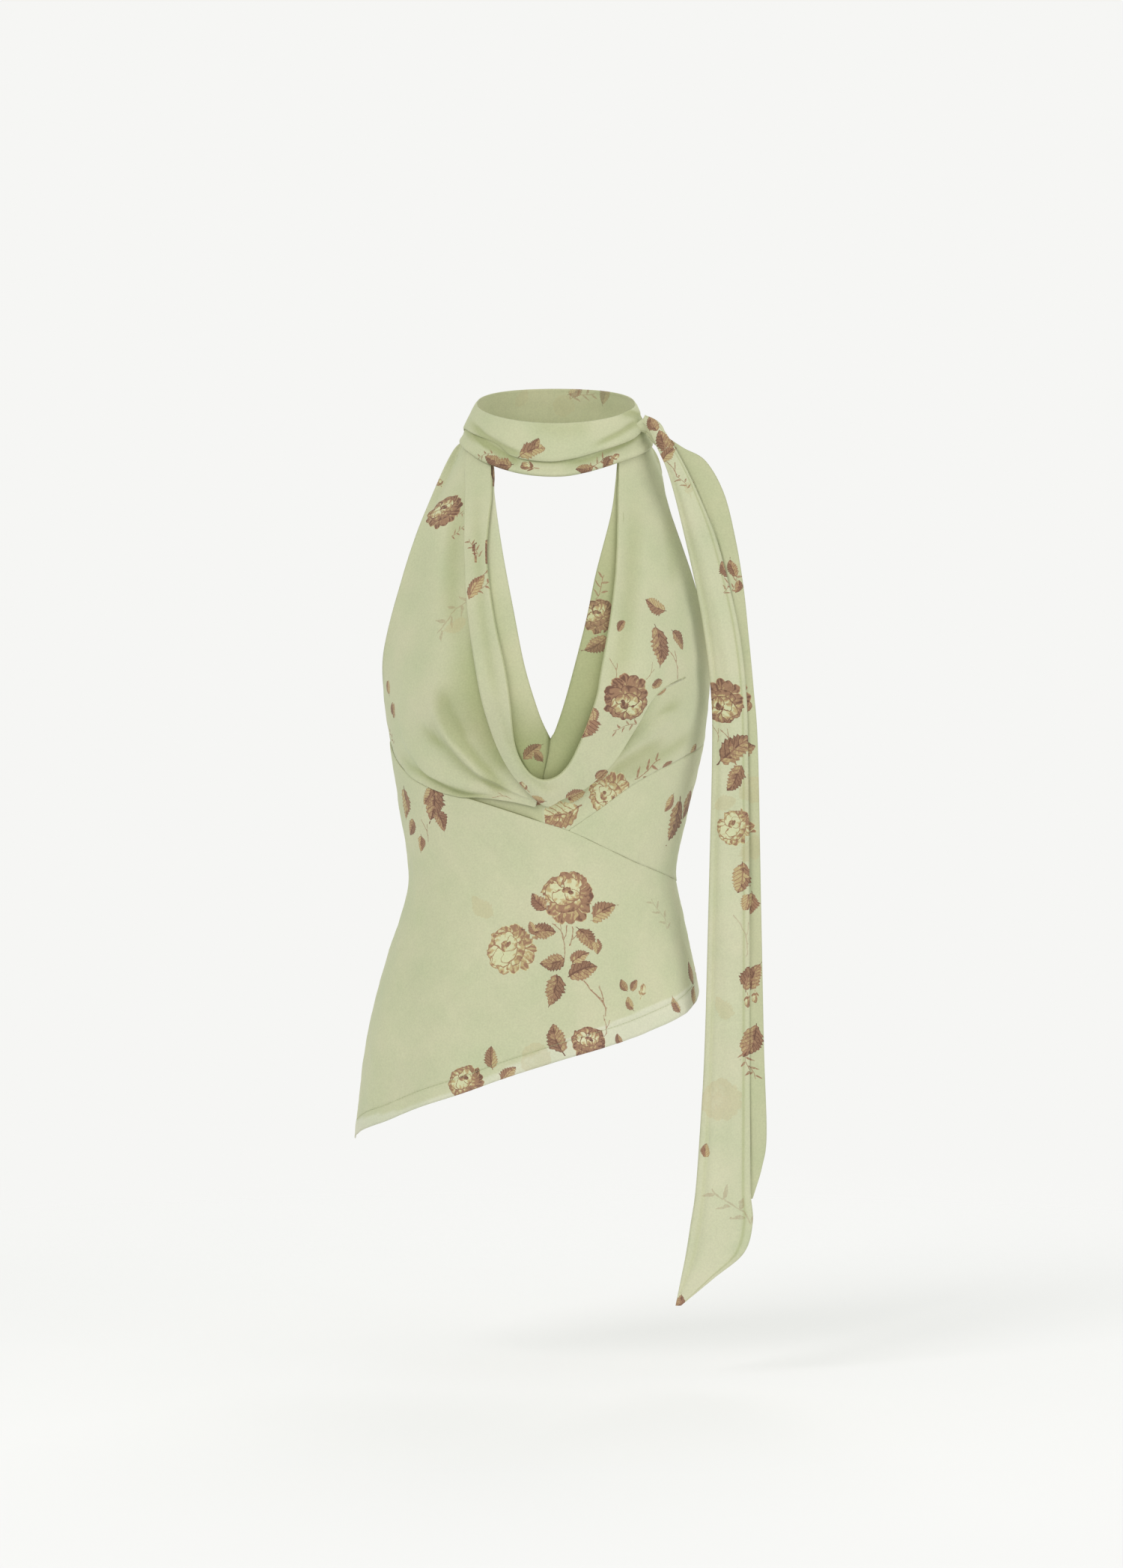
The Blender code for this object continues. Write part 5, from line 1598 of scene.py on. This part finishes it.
def stitch_rows(name, lines):
    """All the stitches of the lines given, each line an array of points in millimetres."""
    mesh = bpy.data.meshes.new(name + "_line")
    points, edges, start = [], [], 0
    for line in lines:
        points += (line * MM).tolist()
        edges += [(start + k, start + k + 1) for k in range(len(line) - 1)]
        start += len(line)
    mesh.from_pydata(points, edges, [])
    guide = put_in_scene(name + "_line", mesh)
    tree = stitch_tree()
    modifier = guide.modifiers.new("Stitches", "NODES")
    modifier.node_group = tree
    modifier[socket_name(tree, "Pitch")] = sizes().stitch + sizes().stitch_gap
    modifier[socket_name(tree, "Length")] = sizes().stitch
    modifier[socket_name(tree, "Radius")] = sizes().thread
    modifier[socket_name(tree, "Material")] = thread_material()
    graph = bpy.context.evaluated_depsgraph_get()
    made = bpy.data.meshes.new_from_object(guide.evaluated_get(graph), depsgraph=graph)
    made.name = name
    bpy.data.objects.remove(guide)
    if not made.polygons:
        raise RuntimeError(name + " has no stitches")
    obj = put_in_scene(name, made)
    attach(obj, "root")
    return obj


def hem_line(turns, top, raise_by, proud):
    turn = turns[:, None]
    low = HEM_Z(turn)
    z = low + raise_by
    share = (top(turn) - z) / (top(turn) - low)
    return ring_points(turn, z, skirt_wave(turn, share) + proud)[:, 0]


def skirt_turns(count=SKIRT_LINES):
    return np.linspace(-90 + SIDE_SEAM_TURN, 90 - SIDE_SEAM_TURN, count)


def back_turns(count=BACK_LINES):
    return np.linspace(90 + SIDE_SEAM_TURN, 270 - SIDE_SEAM_TURN, count)


def back_top(turn):
    return BACK_TOP_SIDE + BACK_TOP_DIP * np.cos(np.radians(turn))


class BuildLeftFront(bpy.types.Operator):
    """Lay the left front, with its folds under the cowl"""

    bl_idname = "cowl_top.left_front"
    bl_label = "Left front"

    def execute(self, context):
        grid, pale_and_shade = left_front_grid()
        cloth_piece("left_front_cloth", [grid], LEFT_FRONT_PRINT, ["front_left"],
                    outer_crepe(), pale_and_shades=[pale_and_shade])
        return {"FINISHED"}


class BuildCowl(bpy.types.Operator):
    """Drape the cowl, its straps and the right front below it, in one cloth"""

    bl_idname = "cowl_top.cowl"
    bl_label = "Cowl and right front"

    def execute(self, context):
        (cowl, cup), pale_and_shades = cowl_grids()
        under = hidden_front_grid(cup[0, :CUP_LINES])
        # The cloth behind the left front gets an even painted shade
        cloth_piece("cowl_cloth", [cowl, cup, under], COWL_PRINT, ["cowl_drape", "front_right"],
                    outer_crepe(), pale_and_shades=pale_and_shades + [-BEHIND_SHADE])
        return {"FINISHED"}


class BuildFacings(bpy.types.Operator):
    """Turn the two facings of the straps"""

    bl_idname = "cowl_top.facings"
    bl_label = "Facings"

    def execute(self, context):
        t, v = np.linspace(0, 1, FACING_LINES), np.linspace(0, 1, FACING_ROWS)[:, None]
        # Painted shade on the facings: the left one paler at the top and darker lower down, the
        # right one darker all over and more so lower down, both darker towards the rim
        left = 0.7 * fades(v, 0.6, 0.5) - 0.9 * grows(v, 0.55, 0.3)
        cloth_piece("left_facing_cloth", [facing_grid(LEFT_FACING)], FACING_PRINT[:3],
                    ["facing_left"], shaded_facing_crepe(),
                    pale_and_shades=[left - 0.5 * (1 - t) ** 3])
        cloth_piece("right_facing_cloth", [facing_grid(RIGHT_FACING)], FACING_PRINT[3:],
                    ["facing_right"], shaded_facing_crepe(),
                    pale_and_shades=[-0.35 - 0.5 * soft_step(v * 1.4) - 0.4 * (1 - t) ** 3])
        return {"FINISHED"}


class BuildSkirt(bpy.types.Operator):
    """Cut the skirt front and the midriff beside it"""

    bl_idname = "cowl_top.skirt"
    bl_label = "Skirt front and midriff"

    def execute(self, context):
        skirt = round_grid(skirt_turns(), WAIST_Z, HEM_Z, SKIRT_ROWS, SKIRT_CREASES)
        cloth_piece("skirt_front_cloth", [skirt], SKIRT_PRINT, ["skirt_front"],
                    outer_crepe(), pale_and_shades=[hem_share(skirt)])
        turns = np.linspace(MIDRIFF_FROM, 90 - SIDE_SEAM_TURN, MIDRIFF_LINES)
        midriff = round_grid(turns, BUST_Z, lambda turn: WAIST_Z(turn) + SEAM_LAP, MIDRIFF_ROWS,
                             waves=False, hem=False)
        cloth_piece("midriff_cloth", [midriff], MIDRIFF_PRINT, ["midriff_right"],
                    outer_crepe())
        return {"FINISHED"}


class BuildBack(bpy.types.Operator):
    """Cut the low back"""

    bl_idname = "cowl_top.back"
    bl_label = "Back"

    def execute(self, context):
        grid = round_grid(back_turns(), back_top, HEM_Z, BACK_ROWS)
        cloth_piece("back_cloth", [grid], (), ["back_panel"], outer_crepe(),
                    hidden=True, pale_and_shades=[hem_share(grid)])
        return {"FINISHED"}


class BuildScarf(bpy.types.Operator):
    """Wind the scarf round the neck and knot it"""

    bl_idname = "cowl_top.scarf"
    bl_label = "Scarf and knot"

    def execute(self, context):
        for name, node, (grid, pale_and_shade), motifs in (
                ("upper_wrap_cloth", "scarf_upper_wrap", upper_wrap_grid(), SCARF_PRINT[:2]),
                ("lower_wrap_cloth", "scarf_lower_wrap", lower_wrap_grid(), SCARF_PRINT[2:]),
                ("nape_band_cloth", "scarf_nape_band", (nape_band_grid(), 0.0), NAPE_PRINT)):
            cloth_piece(name, [grid], motifs, [node], outer_crepe(),
                        pale_and_shades=[pale_and_shade])
        mesh = cloth_mesh("knot_cloth", knot_grids(), (), False)
        mesh.materials.append(outer_crepe())
        knot = put_in_scene("knot_cloth", mesh)
        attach(knot, "root")
        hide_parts("scarf_knot")
        return {"FINISHED"}


class BuildTail(bpy.types.Operator):
    """Hang the two layers of the scarf's tail"""

    bl_idname = "cowl_top.tail"
    bl_label = "Tail"

    def execute(self, context):
        fold, flap = FOLD_LINES["tail"]
        t = closer_lines(TAIL_LINES, fold, flap)
        # Paler over most of the tail, with painted shade along the flap's edge and past it, and
        # just before the fold; the under layer gets an even painted shade
        shade = 0.2 - 0.8 * hump((t - flap) / 0.03) - 0.15 * soft_step((t - flap) / 0.04)
        shade = shade - 0.35 * hump((t - fold + 0.03) / 0.04)
        main_layer = tail_grid(TAIL, TAIL_ROWS, TAIL_LINES, FOLD_LINES["tail"])
        under_layer = tail_grid(UNDER_TAIL, UNDER_TAIL_ROWS, UNDER_TAIL_LINES, FOLD_LINES["under"])
        for name, node, grid, sheet, pale_and_shade in (
                ("tail_cloth", "scarf_tail", main_layer, SHEETS["tail"], shade),
                ("tail_under_cloth", "scarf_tail_under", under_layer, SHEETS["tail_under"],
                 -UNDER_TAIL_SHADE)):
            cloth_piece(name, [grid], TAIL_PRINT, [node], outer_crepe(),
                        pale_and_shades=[pale_and_shade])
        return {"FINISHED"}


class SewStitches(bpy.types.Operator):
    """Sew the hem with one row of stitches all round"""

    bl_idname = "cowl_top.stitches"
    bl_label = "Stitches"

    def execute(self, context):
        rise = sizes().hem / MM
        stitch_rows("hem_stitches", [hem_line(skirt_turns(STITCH_LINE_POINTS), WAIST_Z, rise, 0.1),
                                     hem_line(back_turns(STITCH_LINE_POINTS), back_top, rise, 0.1)])
        return {"FINISHED"}


class SetStage(bpy.types.Operator):
    """Set the floor, the light and the camera"""

    bl_idname = "cowl_top.stage"
    bl_label = "Stage"

    def execute(self, context):
        floor = studio_floor()
        for name, place, wide, power in LIGHTS:
            light = bpy.data.lights.new(name, "AREA")
            light.shape, light.size, light.energy = "SQUARE", wide, power
            light.color = LIGHT_COLOUR
            lamp = put_in_scene(name, light)
            lamp.location = place
            toward = Vector(LIGHT_AIM) - Vector(place)
            lamp.rotation_euler = toward.to_track_quat("-Z", "Y").to_euler()
        world = bpy.data.worlds.new("Studio")
        world.use_nodes = True
        light_sky(world.node_tree)
        context.scene.world = world
        context.scene.view_settings.view_transform = "Standard"
        lens = bpy.data.cameras.new("Camera")
        lens.sensor_width, lens.sensor_fit = SENSOR_WIDTH, "HORIZONTAL"
        lens.lens = SENSOR_WIDTH * VIEW_DISTANCE / (PICTURE_SIZE[0] * MM_PER_PIXEL)
        lens.clip_end = VIEW_END
        camera = put_in_scene("Camera", lens)
        camera.location = (AIM_X * MM, -VIEW_DISTANCE * MM * math.cos(VIEW_LIFT),
                           AIM_Z * MM + VIEW_DISTANCE * MM * math.sin(VIEW_LIFT))
        camera.rotation_euler = (math.pi / 2 - VIEW_LIFT, 0, 0)
        context.scene.camera = camera
        return {"FINISHED"}


def light_sky(tree):
    """A pale backdrop that lights the top less than it shows."""
    shown = tree.nodes["Background"]
    shown.inputs["Color"].default_value = SKY_SHOWN
    lit = add_node(tree, "ShaderNodeBackground", {"Color": SKY_LIGHT, "Strength": SKY_STRENGTH})
    ray = tree.nodes.new("ShaderNodeLightPath")
    mixed = add_node(tree, "ShaderNodeMixShader",
                     enumerate((ray.outputs["Is Camera Ray"], lit.outputs[0], shown.outputs[0])))
    feed(tree, tree.nodes["World Output"].inputs["Surface"], mixed.outputs[0])


def studio_floor():
    mesh = bpy.data.meshes.new("Floor")
    shell = bmesh.new()
    bmesh.ops.create_circle(shell, cap_ends=True, segments=FLOOR_SIDES, radius=FLOOR_RADIUS)
    for vert in shell.verts:
        vert.co.z = FLOOR_LEVEL
    shell.to_mesh(mesh)
    shell.free()
    material, tree, shader, place = new_material("Studio floor", FLOOR_SURFACE)
    split = add_node(tree, "ShaderNodeSeparateXYZ", {0: place})
    x, y = (Sum(tree, split.outputs[k]) for k in (0, 1))
    floor = tuple(colours().floor)
    uneven = noise(tree, place, 3.0).mix(floor, tuple(0.985 * c for c in floor))
    feed(tree, shader.inputs["Base Color"], uneven)
    feed(tree, shader.inputs["Alpha"], (x * x + y * y).put("SQRT").ramp(*FLOOR_FADE))
    mesh.materials.append(material)
    return put_in_scene("Floor", mesh)


STEPS = (BuildLeftFront, BuildCowl, BuildFacings, BuildSkirt, BuildBack, BuildScarf, BuildTail,
         SewStitches, SetStage)


class CowlTopPanel(bpy.types.Panel):
    """Lists the sizes, the colours and the pieces of the top"""

    bl_idname = "COWL_TOP_PT_pieces"
    bl_label = "Cowl neck top"
    bl_space_type = "VIEW_3D"
    bl_region_type = "UI"
    bl_category = "Cowl Top"

    def draw(self, context):
        for settings in (sizes(), colours()):
            box = self.layout.box()
            for label in settings.__annotations__:
                box.prop(settings, label)
        for step in STEPS:
            self.layout.operator(step.bl_idname)


CLASSES = (CowlTopSizes, CowlTopColours, *STEPS, CowlTopPanel)


def register():
    for cls in CLASSES:
        bpy.utils.register_class(cls)
    bpy.types.Scene.cowl_top_sizes = PointerProperty(type=CowlTopSizes)
    bpy.types.Scene.cowl_top_colours = PointerProperty(type=CowlTopColours)


def unregister():
    del bpy.types.Scene.cowl_top_sizes
    del bpy.types.Scene.cowl_top_colours
    for cls in reversed(CLASSES):
        bpy.utils.unregister_class(cls)


def main():
    register()
    for step in STEPS:
        family, _, call = step.bl_idname.partition(".")
        getattr(getattr(bpy.ops, family), call)()
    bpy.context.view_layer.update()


if __name__ == "__main__":
    main()
